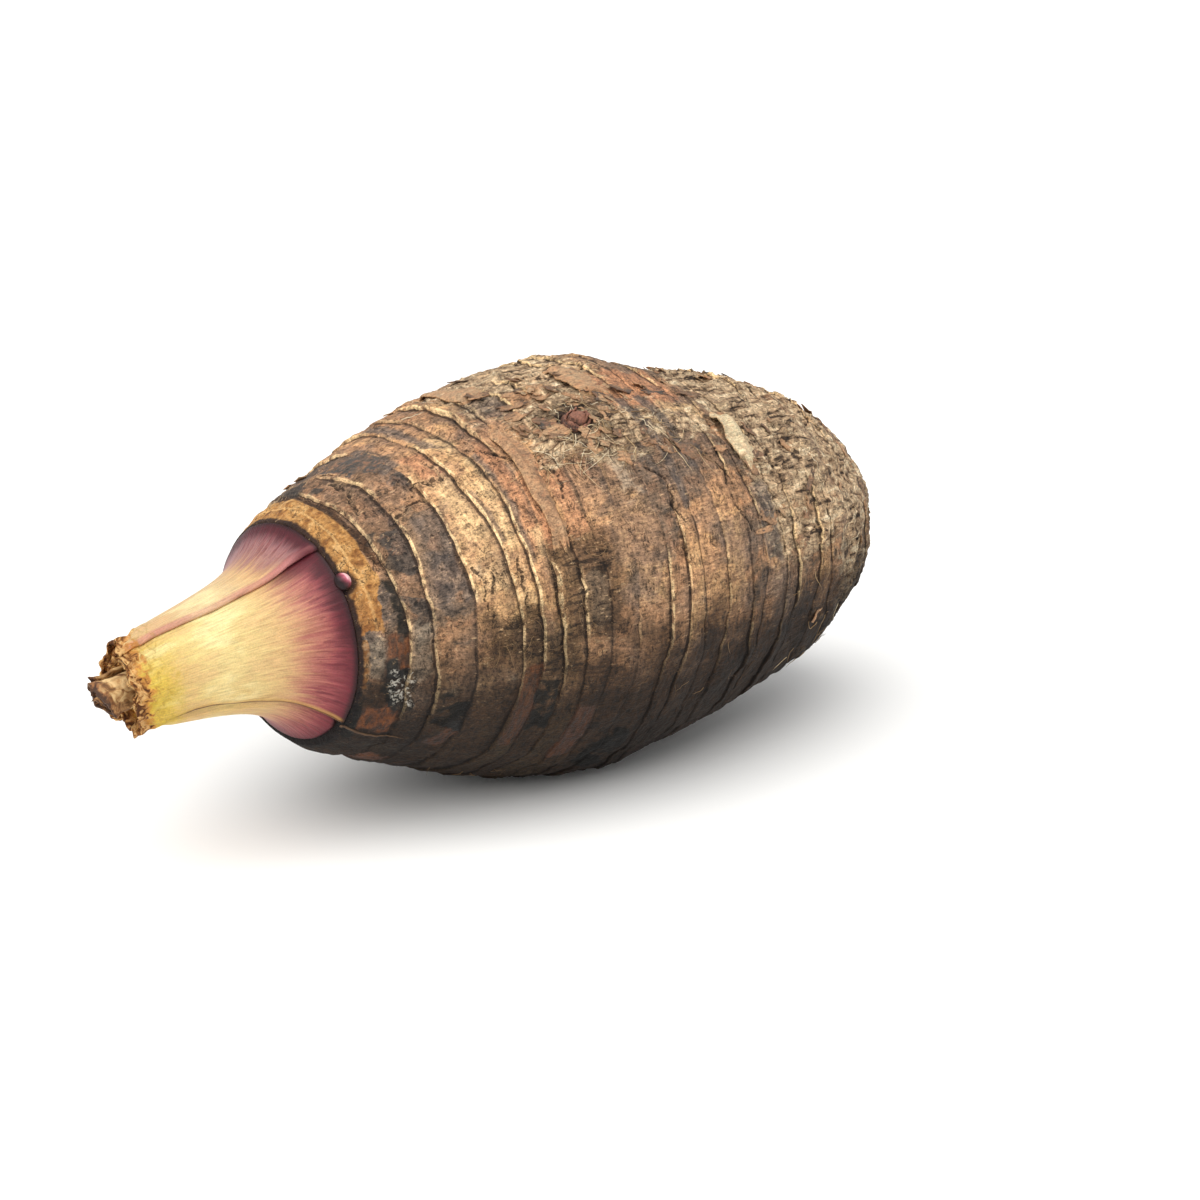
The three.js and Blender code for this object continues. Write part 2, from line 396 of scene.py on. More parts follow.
# %% Floor
FLOOR_HALF = 6.0
floor_mesh = bpy.data.meshes.new("floor")
floor_corners = [(-FLOOR_HALF, -FLOOR_HALF, 0), (FLOOR_HALF, -FLOOR_HALF, 0),
                 (FLOOR_HALF, FLOOR_HALF, 0), (-FLOOR_HALF, FLOOR_HALF, 0)]
floor_mesh.from_pydata(floor_corners, [], [(0, 1, 2, 3)])
floor_finish = Finish("floor_paper")
grain = floor_finish.noise(2.0)
floor_mesh.materials.append(floor_finish.finished(paint("f6f6f5"), 0.9, grain, 0.01))
floor = bpy.data.objects.new("floor", floor_mesh)
bpy.context.scene.collection.objects.link(floor)

# %% [markdown]
# ## The corm's shape
#
# A corm is a swollen stem. Each leaf that dropped has left a scar that runs right round it, and the old skin
# ends there in a thin lip that faces the crown. So the surface is worked out in ring coordinates: a whole
# number is a leaf scar and the fraction is the way to the next one. Rows of the grid then follow the scars,
# which wander a little, and the lips stay sharp with few faces. The lip is undercut, as the dry skin curls
# away, and its edge is painted with a highlight over a painted shadow line.

# %% The corm's outline and swellings
RINGS = np.array([0, 12.3, 21, 31.7, 43.4, 50.5, 57.5, 64.1, 72.1, 82, 92.5, 99.5, 107.9, 116.8, 128, 134.5,
                  145.5, 151.5, 163, 170, 181.5, 188, 199, 207, 216], float)
RINGS[-1] = CORM_LENGTH
RING_HEIGHTS = np.array([0.0, 0.75, 0.7, 0.75, 0.7, 0.55, 1.0, 0.6, 0.6, 0.55, 0.6, 0.6, 0.7, 0.6, 0.7, 0.7,
                         0.7, 0.7, 0.7, 0.6, 0.6, 0.5, 0.4, 0.3, 0.0])
RING_WANDER = 1.5

# Swellings and hollows: along, angle, height, and how far each spreads along and around.
SWELLINGS = [
    (119, -8, 1.7, 13, 20), (140, -4, -1.4, 12, 20), (88, 33, 1.6, 30, 8), (176, 60, 2.4, 15, 30),
    (160, -95, 2.2, 18, 28), (60, -110, 1.8, 20, 24),
]


def root_axis(along):
    """Height of the axis: it droops by a smooth step towards the tail, and the stalks, which leave the crown
    a little higher, sag with the square of their length."""
    droop = TAIL_DROOP * smooth_step(WIDEST_AT, CORM_LENGTH, along)
    lift = STALK_LIFT * smooth_step(4, -4, along)
    return AXIS_HEIGHT - droop + lift - STALK_SAG * np.minimum(along, 0) ** 2


def placed(along, angle, radius):
    """Points in millimetres in the frame, from places along, angles and distances from the axis:
    y = -radius sin(angle), and the height is the axis's plus radius cos(angle)."""
    turn = np.radians(angle)
    x = CROWN_X + along + 0 * turn
    y = AXIS_Y - radius * np.sin(turn)
    z = root_axis(along) + radius * np.cos(turn)
    return np.stack(np.broadcast_arrays(x, y, z), -1)


def plain_radius(along):
    """A quarter sine from the crown to the widest place, then a blunt power curve to the tail."""
    rise = np.sin(np.pi / 2 * np.clip(along / WIDEST_AT, 0, 1))
    tail = np.clip((along - WIDEST_AT) / (CORM_LENGTH - WIDEST_AT), 0, 1)
    grown = CROWN_RADIUS + (WIDEST_RADIUS - CROWN_RADIUS) * rise
    return np.where(along < WIDEST_AT, grown, WIDEST_RADIUS * (1 - tail ** 1.2) ** 0.33)


def swelling(along, angle):
    """The sum of the swellings, each a bell curve along and around."""
    return sum(
        height * np.exp(-((along - middle) / length) ** 2 - (angle_between(angle, turn) / arc) ** 2)
        for middle, turn, height, length, arc in SWELLINGS
    )


def band_circle(angle, level):
    """Places on a circle 30 mm in radius. Each band has its own, 40 mm from the next, so that a random field
    read there is smooth round the root and different in every band."""
    around = np.radians(angle)
    return np.stack(np.broadcast_arrays(30 * np.cos(around), 30 * np.sin(around), 40.0 * level), -1)


def ring_places(angle):
    """Where every ring crosses these angles. Each ring wanders smoothly about its own place."""
    level = np.arange(len(RINGS))[:, None]
    held = np.clip(np.minimum(level, len(RINGS) - 1 - level), 0, 1)
    return RINGS[:, None] + held * RING_WANDER * clouds(band_circle(angle, level), 26, 3, seed=2)


# %% [markdown]
# ## The corm's weathering
#
# No two places of the skin are alike: some bands are fresh and terracotta, some grey and leathery, and one
# ridge is all dry fibre. Each kind of weathering is a field from 0 to 1 that the mesh carries: the strongest
# of a few soft-edged patches, each with two sides along the rings and two across them. Cracks and the buds'
# hollows are fields too, which fall off with distance. The same fields drive the relief here and the colour
# later.

# %% Weathered patches
# Each patch: from where to where along, and from which angle to which. Where a ring is worn, it has no lip.
PATCHES = {
    "ochre": [(-9, 9.4, -85, 57), (-9, 6.4, 57, 79), (-9, 2.3, 79, 106)],
    "groove": [(9.3, 12.0, -60, 47)],
    "pale": [(2.3, 6.4, 79, 99), (12.8, 20.8, 78, 99), (8, 24, 138, 150), (64, 71, 74, 88), (86, 90, 40, 52),
             (32.5, 35.5, 60, 66), (24, 31, 103.5, 106.5)],
    "slate": [(21.8, 31.6, 50, 69), (43.8, 45.4, 33, 57), (50.6, 52.8, 22, 68), (28, 34.5, -14, 13),
              (103.4, 107.9, 24, 62), (112.0, 116.8, 24, 52), (64.2, 72, 2, 13), (29.6, 31.6, 44, 72),
              (135, 144, 60, 84), (91, 99, -70, -40), (31.7, 43, -80, -52), (44.0, 47.6, -24, 14)],
    "terracotta": [(51.6, 57.4, 22, 63), (57.0, 62.8, 34, 62), (35, 43.3, 10, 27), (100, 131, 8, 27),
                   (64.6, 71.6, 34, 60), (108, 126, -100, -60), (21.2, 31.5, -120, -80)],
    # The golden patches below are a painted highlight.
    "gold": [(34.6, 42.8, 27, 54), (45.6, 50, 30, 60), (54.5, 57.2, 54, 66), (118, 133, 26, 34),
             (46, 50, 4, 17)],
    "amber": [(6.6, 12.2, 77, 97), (2.0, 11.2, 111, 129), (43.8, 50.4, 98, 133), (22, 31, 123, 139),
              (64, 71, 115, 140), (12.6, 21, 150, 190)],
    "crust": [(4.8, 14.6, 99, 112), (9.6, 12.6, 54, 80), (6.4, 9, 92, 99), (21.6, 31.6, 107, 123),
              (0.4, 2.6, 106, 140), (18, 23, 126, 134), (50.5, 57, 104, 124), (76, 90, 130, 150)],
    "bark": [(68, 97, 13, 40), (90, 131, 28, 42), (62, 110, -20, 9), (138, 176, -50, 84),
             (176, 198, -20, 120), (163, 181, -150, -80), (202, 230, -180, 180), (84, 110, -110, -80)],
    "shade": [(12, 20.8, -80, 56), (21.2, 31.5, -80, 26), (31.8, 37, -60, 10), (44, 57, -60, 4),
              (56, 64, 8, 29), (72, 84, -60, -10)],
    "hairy": [(34, 50, 78, 96), (76, 94, 18, 37), (57.6, 76, 62, 90), (46, 60, 88, 100)],
    "mould": [(7.6, 14.0, 99, 109)],
    "worn": [(55, 60.5, 30, 68), (28.5, 35, -14, 23), (89, 96, 8, 44), (80, 84, 8, 44)],
}
PATCH_BORDERS = {"bark": 7.0, "hairy": 6.0, "gold": 4.0, "pale": 3.0, "shade": 3.0, "terracotta": 2.6,
                 "slate": 2.4}
USUAL_BORDER = 1.6

# Cracks that wander across the bands: along and angle of each turn. They sink in as far off as their reach.
CRACK_REACH = 1.6
CRACKS = [
    [(51.5, 20), (54.5, 24), (57.5, 28), (60, 32), (62.5, 37), (63.6, 43), (63.9, 50), (63.5, 60)],
    [(29, 27), (31.5, 24), (34, 24), (36, 27), (38.5, 25), (40.5, 27), (42.5, 22), (41, 17)],
    [(33.5, 61), (36, 67), (35, 74), (37, 80)], [(37.5, 62), (38.2, 67), (37.6, 72)],
    [(22, 33), (27, 30), (31, 31)], [(66, 34), (69, 41), (68, 50)], [(47, 62), (45, 70), (47, 79)],
    [(96, 48), (101, 53), (99, 60), (104, 66)], [(14, 22), (17, 14), (20, 9), (20, -4)],
    [(122, 44), (127, 52), (125, 63), (130, 72)], [(100, 0), (106, 5), (114, 2), (120, 8)],
]
# Places where a bud sits in a hollow, sunk in and darkened with painted shade: along, angle and how wide.
HOLLOWS = [(0.4, CROWN_BUD[1], 4.4), (*SIDE_BUD, 6.5)]


def patches(kind, usual, angle, points):
    """The strongest patch of a kind at each place, from how many millimetres inside its nearest border the
    place is: 1 well inside, 0.5 on the border. Borders that cross the rings are the roughest."""
    rough = clouds(points, 9, 4, seed=5)
    soft = PATCH_BORDERS.get(kind, USUAL_BORDER)
    fields = []
    for low, high, start, end in PATCHES[kind]:
        ends = np.minimum(usual - low, high - usual) + 0.6 * rough
        across = (end - start) / 2 - angle_between(angle, (start + end) / 2)
        sides = across * np.radians(plain_radius(usual)) + 3.6 * rough
        fields.append(smooth_step(-soft, soft, np.minimum(ends, sides)))
    return np.max(fields, axis=0)


def nearness(lines, usual, angle, reach):
    """1 on the lines and 0 more than reach millimetres from them, along the surface."""
    nearest = np.full(np.shape(usual), reach, float)
    for line in lines:
        for (start, start_turn), (end, end_turn) in zip(line, line[1:] or line):
            arc = np.radians(plain_radius((start + end) / 2))
            across = ((angle - start_turn + 180) % 360 - 180) * arc
            run, rise = end - start, (end_turn - start_turn) * arc
            share = np.clip(((usual - start) * run + across * rise) / max(run ** 2 + rise ** 2, 1e-9), 0, 1)
            gap = np.hypot(usual - start - share * run, across - share * rise)
            nearest = np.minimum(nearest, gap)
    return 1 - nearest / reach


# %% The corm's grid
BAND_ROWS = np.array([0.0, 0.02, 0.045, 0.08, 0.14, 0.22, 0.31, 0.41, 0.51, 0.61, 0.71, 0.81, 0.9, 0.96])
COLUMNS = 290
FACING, CROWDING = 45.0, 0.42


def grid_angles(count):
    """Angles round the root, closer together on the side that is seen first: s less CROWDING radians times
    the sine of s, counted from the direction faced."""
    share = np.linspace(-180, 180, count, endpoint=False)
    return FACING + share - np.degrees(CROWDING * np.sin(np.radians(share)))


# The lips stand highest on the first bands, on the upper front.
FRESH_BANDS, FRESHEST_ANGLE = 8, 42.0


def corm_relief(ring, angle, along, points, fields):
    """Height of the skin above the plain radius. Each band rises in a lip at its scar and sinks slowly to
    the next, with a groove just before it. Lumps, peeled steps, fine rings and rough bark are added, and
    cracks and the buds' hollows sink in."""
    level = np.floor(ring).astype(int)
    share = ring - level
    fresh = smooth_step(80, 20, angle_between(angle, FRESHEST_ANGLE)) * (level < FRESH_BANDS)
    uneven = np.clip(0.42 + 0.5 * fresh + clouds(band_circle(angle, level), 15, 3, seed=3), 0.02, 1.6)
    lip = RING_HEIGHTS[level] * uneven * (1 - fields["worn"])
    band = lip * smooth_step(0, 0.03, share) * (1 - smooth_step(0.05, 1.0, share))
    band = band + 0.8 * (level == 0) * np.sin(np.pi * share)
    groove = 0.5 * RING_HEIGHTS[level + 1] * np.exp(-((1 - share) / 0.09) ** 2)
    groove = groove * (1 - fields["worn"])
    lumps = 0.9 * clouds(points, 38, 2, seed=1) + 0.6 * clouds(points, (14, 8, 8), 3, seed=8)
    wrinkles = 0.12 * np.sin(2 * np.pi * (3 * ring + 1.5 * clouds(points, 14, 3, seed=18)))
    peel = clouds(points, (20, 13, 13), 4, seed=21)
    peeled = 0.3 * (smooth_step(-0.03, 0.03, peel) + smooth_step(0.3, 0.36, peel))
    ridges = 1 - np.abs(clouds(points, (16, 5, 5), 4, seed=31))
    tufts = 0.6 * clouds(points, 4, 2, seed=6)
    rough = fields["bark"] * (1.5 * ridges ** 3 - 0.6) + fields["hairy"] * tufts
    pitted = 0.3 * fields["crust"] * cloud(points, 2.5, seed=19)
    sunk = 0.6 * fields["groove"] + 0.15 * fields["slate"] - pitted
    sunk = sunk + 0.9 * fields["crack"] ** 2 + 0.9 * smooth_step(0, 0.8, fields["hollow"])
    grown = smooth_step(-3, 8, along)
    return band - groove + (lumps + peeled + wrinkles + rough) * grown - sunk, lip, peel


# How light each band is, from 0, grey and leathery, through 0.5, brown, to 1, golden.
BAND_TONES = np.array([0.35, 0.27, 0.46, 0.72, 0.78, 0.64, 0.72, 0.7, 0.5, 0.62, 0.42, 0.6,
                       0.5, 0.58, 0.42, 0.55, 0.4, 0.3, 0.52, 0.4, 0.5, 0.35, 0.45, 0.4])


def band_tone(ring, angle, points):
    """The tone of the skin: its band's own, plus a slow change round each band, plus clouds over all."""
    level = np.floor(ring).astype(int)
    around = clouds(band_circle(angle, level), 16, 3, seed=25)
    return BAND_TONES[level] + 0.16 * around + 0.16 * clouds(points, 15, 4, seed=27)


def corm_surface(ring, angle, along):
    """Points of the corm's skin, and the fields that it carries, from ring coordinates, angles and places
    along. The relief fades where the corm narrows to a point, and the belly is flat where it rests. Usual is
    the place along that a point would have if its rings didn't wander, and width its band's."""
    plain = placed(along, angle, plain_radius(along))
    usual = np.interp(ring, np.arange(len(RINGS)), RINGS)
    fields = {kind: patches(kind, usual, angle, plain) for kind in PATCHES}
    wander = 1.1 * clouds(plain, 5, 3, seed=33)
    fields["crack"] = nearness(CRACKS, usual + wander, angle + wander, CRACK_REACH)
    hollows = [nearness([[(place, turn)]], usual, angle, wide) for place, turn, wide in HOLLOWS]
    fields["hollow"] = np.max(hollows, 0)
    height, lip, peel = corm_relief(ring, angle, along, plain, fields)
    share = ring % 1
    undercut = np.where(share < 0.01, 0.35, np.where(share < 0.03, -0.12, 0.0)) * (ring >= 1)
    fading = np.clip(plain_radius(along) / 14, 0, 1)
    radius = plain_radius(along) + fading * (height + swelling(along, angle))
    points = placed(along + undercut * np.clip(lip, 0, 1), angle, radius)
    points[..., 2] = np.maximum(points[..., 2], 0.15 + 0.1 * cloud(points, 5, seed=9))
    width = np.diff(RINGS, append=CORM_LENGTH + 9)[np.floor(ring).astype(int)]
    tone = band_tone(ring, angle, plain)
    fields.update(ring=ring, usual=usual, lip=lip, peel=peel, tone=tone, width=width)
    return points, fields


def make_corm_grid():
    """Rows follow the scars: along = the low scar's place plus a share of the way to the next. In the last
    band the rows crowd towards the tip, where the corm rounds off."""
    angle = grid_angles(COLUMNS)[None, :]
    last = len(RINGS) - 2
    ring = (np.arange(last + 1)[:, None] + BAND_ROWS).reshape(-1, 1) + 0 * angle
    crossing = ring_places(angle[0])
    level = np.floor(ring).astype(int)
    share = np.where(level == last, 1 - (1 - ring % 1) ** 2.2, ring % 1)
    column = np.arange(COLUMNS)[None, :]
    low, high = crossing[level, column], crossing[level + 1, column]
    angle = angle + 0 * ring
    return corm_surface(ring, angle, low + (high - low) * share)


corm_points, corm_fields = make_corm_grid()
print("corm grid", corm_points.shape[:2], "mean tone", corm_fields["tone"].mean().round(2))

# %% [markdown]
# ## The corm's finish
#
# Seen close, the skin is a web of fine pale and dark grains, drawn out along the root, with short cracks. It
# lies over broad tones that change from band to band. The broad tones come first, read off the mesh; the
# weathered patches are laid over them with borders frayed by noise; then come the lips, with a painted
# highlight on their edges and a painted shadow under them, and the cracks and fibres. The grain and a painted
# shade that darkens the underside multiply them all. The relief uses the same noises, so that a dark crack is
# also deep.

# %% Corm finish
BELT_RADIUS = 16.0


def frayed(finish, name, grain, border, ragged):
    """A patch that the mesh carries, with its soft border turned into a ragged one."""
    return (finish.field(name) + (grain - 0.5) * ragged).step(0.5 - border, 0.5 + border)


def belt_place(skin):
    """Each place moved straight in onto a thin tube round the axis. Noise read there is drawn out round the
    root."""
    centre = (0, AXIS_Y * MM, (AXIS_HEIGHT - TAIL_DROOP / 2) * MM)
    spoke = skin.vector("MULTIPLY", skin.vector("SUBTRACT", skin.place, centre), (0, 1, 1))
    start = skin.node("CombineXYZ", {}, {0: skin.node("SeparateXYZ", {}, {0: skin.place}, 0)})
    return skin.vector("ADD", skin.vector("NORMALIZE", spoke).scaled(BELT_RADIUS * MM), start)


def make_corm_finish():
    """Tones, patches, lips with painted highlights and shadows, cracks and fibres in turn, then the grain and
    a painted shade that darkens the underside, and at last the amber panels, which that painted shade dulls
    less."""
    skin = Finish("corm_skin")
    height, usual, ring, lip = skin.height(), skin.field("usual"), skin.field("ring"), skin.field("lip")
    band, share = skin.math("FLOOR", ring), skin.math("FRACT", ring)
    after, before = share * skin.field("width"), (1 - share) * skin.field("width")

    blotch = skin.noise(12, 5, (1.3, 1, 1))
    patchy = skin.noise(4.5, 7, (1.3, 1, 1), warp=0.4, shift=3)
    mottle = skin.noise(2.2, 5, (1.2, 1, 1), warp=0.4, shift=7)
    grain = skin.noise(1.0, 4, (1.3, 1, 1), shift=9)
    speckle = skin.noise(0.45, 3, shift=5)
    fibre = skin.noise(0.55, 3, (7, 1, 1), warp=0.5, shift=2)
    coarse_fibre = skin.noise(2.4, 6, (5, 1, 1), warp=0.9, shift=4)
    streak = skin.noise(1.2, 5, place=belt_place(skin), warp=0.4, shift=6)

    # Each kind of patch: the noise that frays it, how soft its border is and how ragged.
    frays = {
        "shade": (patchy, 0.4, 1.6), "ochre": (mottle, 0.1, 0.9), "groove": (mottle, 0.2, 0.9),
        "slate": (patchy, 0.25, 0.9), "pale": (mottle, 0.3, 1.6), "terracotta": (patchy, 0.25, 1.0),
        "gold": (patchy, 0.35, 1.2), "amber": (patchy, 0.35, 0.7), "crust": (patchy, 0.25, 1.2),
        "bark": (coarse_fibre, 0.25, 1.6), "hairy": (fibre, 0.35, 1.6), "mould": (patchy, 0.3, 1.4),
    }
    masks = [frayed(skin, kind, *fray) for kind, fray in frays.items()]
    shade, ochre, groove, slate, pale, terracotta, gold, amber, crust, bark, hairy, mould = masks

    tone = skin.field("tone") + (patchy - 0.5) * 0.9 + (mottle - 0.5) * 0.3 + (fibre - 0.5) * 0.35
    colour = (tone - shade * 0.26).colour_ramp(
        (0.0, "443b34"), (0.18, "665649"), (0.34, "82674f"), (0.5, "9d785a"), (0.64, "b38a65"),
        (0.8, "cba272"), (1.0, "e2c08c"))
    ochre_tone = (patchy + (mottle - 0.5) * 0.8).colour_ramp(
        (0.32, "835529"), (0.44, "a3733d"), (0.58, "b5854c"), (0.72, "c2975f"))
    bark_tone = (coarse_fibre + (mottle - 0.5) * 0.3).colour_ramp(
        (0.30, "4c3b2c"), (0.40, "8d7358"), (0.50, "b09677"), (0.60, "c8af8c"), (0.72, "ddcbab"))
    slate_tone = (patchy + (mottle - 0.5) * 0.6).colour_ramp(
        (0.35, "443c39"), (0.5, "5b5049"), (0.65, "7d6b5b"))
    amber_tone = streak.colour_ramp((0.36, "8a4e20"), (0.5, "69391a"), (0.62, "3f2412"))

    peel = skin.field("peel") + (patchy - 0.5) * 0.3
    ridge = skin.math("ABSOLUTE", usual + (mottle - 0.5) * 0.8 - 4.6).step(0.5, 0.2)
    # Greyer and darker over the last part of each band, before the next lip: painted shade where the band
    # curves in, with grey weathering.
    grey_and_painted_shade = (share + (patchy - 0.5) * 0.8).step(0.55, 1.0) * band.step(0.4, 0.6) * blotch.step(0.4, 0.5)
    # Darker and soil-brown towards the bottom: partly soil, partly painted shade of the underside.
    soil_and_painted_shade = (height + (blotch - 0.5) * 50 + (patchy - 0.5) * 30).step(68, 40)
    crumbs = mould * (mottle + grain + speckle * 0.5).step(1.25, 1.36) * (speckle + grain).step(0.95, 1.05)
    colour = colour.over(
        ("75655a", blotch.step(0.52, 0.64) * 0.45),
        ("8f5b3a", (patchy + (mottle - 0.5) * 0.5).step(0.52, 0.62) * 0.25),
        ("bd8c63", peel.step(0.04, -0.04) * 0.3),
        ("655549", peel.step(0.28, 0.36) * 0.45),
        ("b37d5a", terracotta * 0.75),
        # Painted highlight: bright golden patches on the upper front.
        ("e0b988", gold * 0.8),
        (ochre_tone, ochre),
        ("d9ad70", ochre * ridge * 0.6),
        ("824d22", ochre * height.step(86, 68) * 0.5),
        ("a3937e", pale * 0.55),
        # Painted shade, greyed, before each lip.
        ("4c443f", grey_and_painted_shade * 0.5),
        (bark_tone, bark * 0.85),
        (slate_tone, slate * 0.8),
        # Soil and painted shade towards the bottom.
        ("3a2413", soil_and_painted_shade * 0.75),
        ("372819", hairy * 0.7),
        ("1b1a15", crust * patchy.step(0.36, 0.48) * 0.9),
        ("c9c3b6", crumbs * 0.9),
        # Painted shade: the groove before the first ring's lip, darkened to a deep brown.
        ("331e11", groove * 0.85),
    )

    # lit marks where the lips carry a painted highlight: high lips past the first band, more the higher they
    # stand.
    lit = lip.step(0.25, 0.75) * band.step(0.4, 0.6) * height.step(30, 74) * (1 - shade * 0.6)
    edge = (after + (mottle - 0.5) * 0.9).step(0.85, 0.45) * after.step(-0.1, 0.1)
    # under marks a painted shadow: a dark line just before each scar, under the undercut lip.
    under = (before + (mottle - 0.5) * 0.9).step(0.9, 0.3) * lip.step(0.0, 0.5) * (1 - skin.field("worn"))
    crack, hollow = skin.field("crack"), skin.field("hollow")
    deep_fibre = coarse_fibre.step(0.42, 0.36) * bark + coarse_fibre.step(0.47, 0.4) * hairy
    pale_fibre = fibre.step(0.6, 0.68) * mottle.step(0.48, 0.58)
    cleft = skin.math("ABSOLUTE", skin.noise(3.0, 5, (0.7, 1.6, 1.6), warp=0.8, shift=12) - 0.5)
    cleft = cleft.step(0.016, 0.004) * patchy.step(0.5, 0.58)
    root_scar, at_tail = skin.cells(9), usual.step(138, 168)
    scar_rim, scar_hole = root_scar.step(0.26, 0.2) * at_tail, root_scar.step(0.16, 0.1) * at_tail
    colour = colour.over(
        # Painted highlights: a bright line on each lip's edge and a softer one on the lip's slope behind it.
        ("f2d3a0", edge * lit * streak.step(0.4, 0.5)),
        ("c79c6f", (share + (mottle - 0.5) * 0.07).step(0.35, 0.06) * lit * 0.3),
        # Painted shadow under the lips.
        ("261810", under * 0.75),
        # Painted highlight: pale rims beside the cracks on the lit lips.
        ("dcb588", (crack + (mottle - 0.5)).step(0.2, 0.4) * lit * 0.4),
        ("1f130c", (crack + (grain - 0.5) * 1.2).step(0.62, 0.8) * 0.85),
        # Painted shade: the buds' hollows darkened nearly to black.
        ("1f0e0e", (hollow + (mottle - 0.5) * 0.4).step(0.05, 0.3) * 0.9),
        # Nearly black at the crown edge, where the corm meets the leaf bases: partly dark pigment, partly
        # painted shade of the gap.
        ("1d0b0c", (usual + (mottle - 0.5) * 1.5).step(1.5, 0.6) * 0.95),
        ("221710", deep_fibre.at_most(1) * 0.8),
        ("c5a57e", pale_fibre * 0.5 * height.step(20, 60)),
        ("21160e", cleft * 0.75),
        ("2c1c11", speckle.step(0.36, 0.29) * 0.5),
        ("a08363", scar_rim * 0.6),
        ("2b1d13", scar_hole * 0.85),
    )

    rings = skin.math("SINE", ring * 40 + patchy * 14)
    even = grain + speckle + fibre + streak + mottle - 2.5
    # Painted shade: the colour is darkened towards the underside, down to 0.18 of itself at the bottom.
    painted_underside_shade = 0.18 + 0.82 * (height + (blotch - 0.5) * 40).step(32, 80)
    # light is the grain times that painted shade, not a lamp.
    light = (1.1 + even * 1.8 * (1 - ochre * 0.5) + rings * 0.05).at_least(0.3) * painted_underside_shade
    # The amber panels take that painted shade too, lifted so that they stay brighter low down and near the
    # crown.
    amber_painted_shade = light.at_least(0.35 + usual.step(24, 12) * 0.4)
    colour = colour.scaled(light).over((amber_tone.scaled(amber_painted_shade), amber * (1 - crust) * 0.75))

    relief = grain * 1.6 + fibre * 1.4 + speckle * 0.9 + streak * 1.2 + mottle * 1.6 + patchy * 1.4
    relief = relief + scar_rim - scar_hole * 2 + rings * 0.07 - cleft * 0.8 + crumbs * 1.2
    relief = relief + bark.at_least(hairy) * (coarse_fibre * 3.0)
    shiny = terracotta * 0.12 + amber * 0.3 + slate * 0.15 + ochre * 0.1
    roughness = (0.85 - shiny + (grain - 0.5) * 0.5).at_least(0.4)
    return skin.finished(colour, roughness, relief, 0.42, **{"Specular IOR Level": 0.35})


corm_finish = make_corm_finish()

# %% Put the corm in place
def with_poles(values):
    """A field over the corm's grid, with its end rows' means added for the two closing points."""
    return np.concatenate([values.ravel(), [values[0].mean(), values[-1].mean()]])


make_piece("corm_skin", skin_part(corm_points), corm_finish, "corm_skin", ["corm"],
           **{name: with_poles(values) for name, values in corm_fields.items()})

# %% [markdown]
# ## The leaf bases
#
# A leaf stalk of this plant wraps round the ones inside it like a loosely rolled sheet. Three of them show:
# the upper one overlaps the front one along a pink edge, and the front one overlaps the innermost along a
# dry brown edge. Each is a thin shell over a grid of angle and distance from the crown. They flare where
# they grow out of the corm, and they were cut with a knife and then dried, so the cut rim is torn, curled
# and brown: there the rows crowd together and a random field crumples them.

# %% Leaf base shapes
STALK_TIP_RADIUS, STALK_TAPER = 13.0, 9.0
FLARE, FLARE_REACH, FLARE_POWER = 10.4, 9.0, 1.3
EDGES_END = 60.0
LEAF_THICKNESS = 2.0
LEAF_GAP = 0.3
FAR = 99.0  # stands for an edge that a leaf base doesn't have
EDGE_KINDS = ("pink_edge", "dry_edge", "tucked")

# Distance from the crown, and the angle of an edge there.
UPPER_EDGE = [(0, 28), (1.5, 27), (6.8, 23.5), (12, 22.5), (21, 21), (31, 22.5), (37, 21), (44, 19.5),
              (53, 16), (62, 13)]
FRONT_EDGE = [(0, 130), (11, 129.5), (18.5, 129), (28, 126), (37.5, 121), (43, 121.5), (50, 127), (62, 138)]
# The upper leaf base starts at this angle, far round the back, and the front one under the upper's edge.
UPPER_START, OVERLAP = -156.0, 5.0
# Angle, and how far the rim stands from the crown there.
RIM = [(-154, 56), (-80, 56), (-34, 56.5), (5, 60), (28, 60.5), (65, 62), (100, 62.5), (130, 60),
       (158, 58.5), (206, 56)]


def stalk_radius(away):
    """An even taper from the crown to the tip, plus a flare that dies away from the crown."""
    taper = STALK_TAPER * (1 - away / STALK_LENGTH)
    return STALK_TIP_RADIUS + taper + FLARE * np.exp(-(np.maximum(away, 0) / FLARE_REACH) ** FLARE_POWER)


def between(pairs, value):
    """A value read off a list of (place, value) pairs, with straight lines between them."""
    places, values = np.array(pairs, float).T
    return np.interp(value, places, values)


def rim_at(angle):
    """Where the torn rim is at each angle: the list above plus jags of up to 2 mm."""
    around = np.radians(angle)
    circle = np.stack([14 * np.cos(around), 14 * np.sin(around), 0 * around], -1)
    return between(RIM, angle) + 1.5 * clouds(circle, 7, 3, seed=12)


def leaf_map(angle, away):
    """The sheet's own map in metres: across it, at 20 mm from the axis, and along it."""
    return np.stack([20 * np.radians(angle), away], -1).reshape(-1, 2) * MM


def leaf_rows(count):
    """Shares of the way from the crown to the rim, closer together at both ends."""
    share = np.linspace(0, 1, count)
    return share - 0.11 * np.sin(2 * np.pi * share)


def crumple(points, to_rim):
    """How far the drying leaf has moved in or out: up to 2 mm at the rim and none 14 mm from it."""
    dried = smooth_step(19, 0, to_rim)
    return dried ** 2 * (1.7 * clouds(points, (8, 5, 5), 3, seed=14) + 0.6 * cloud(points, 2, seed=15) - 0.4)


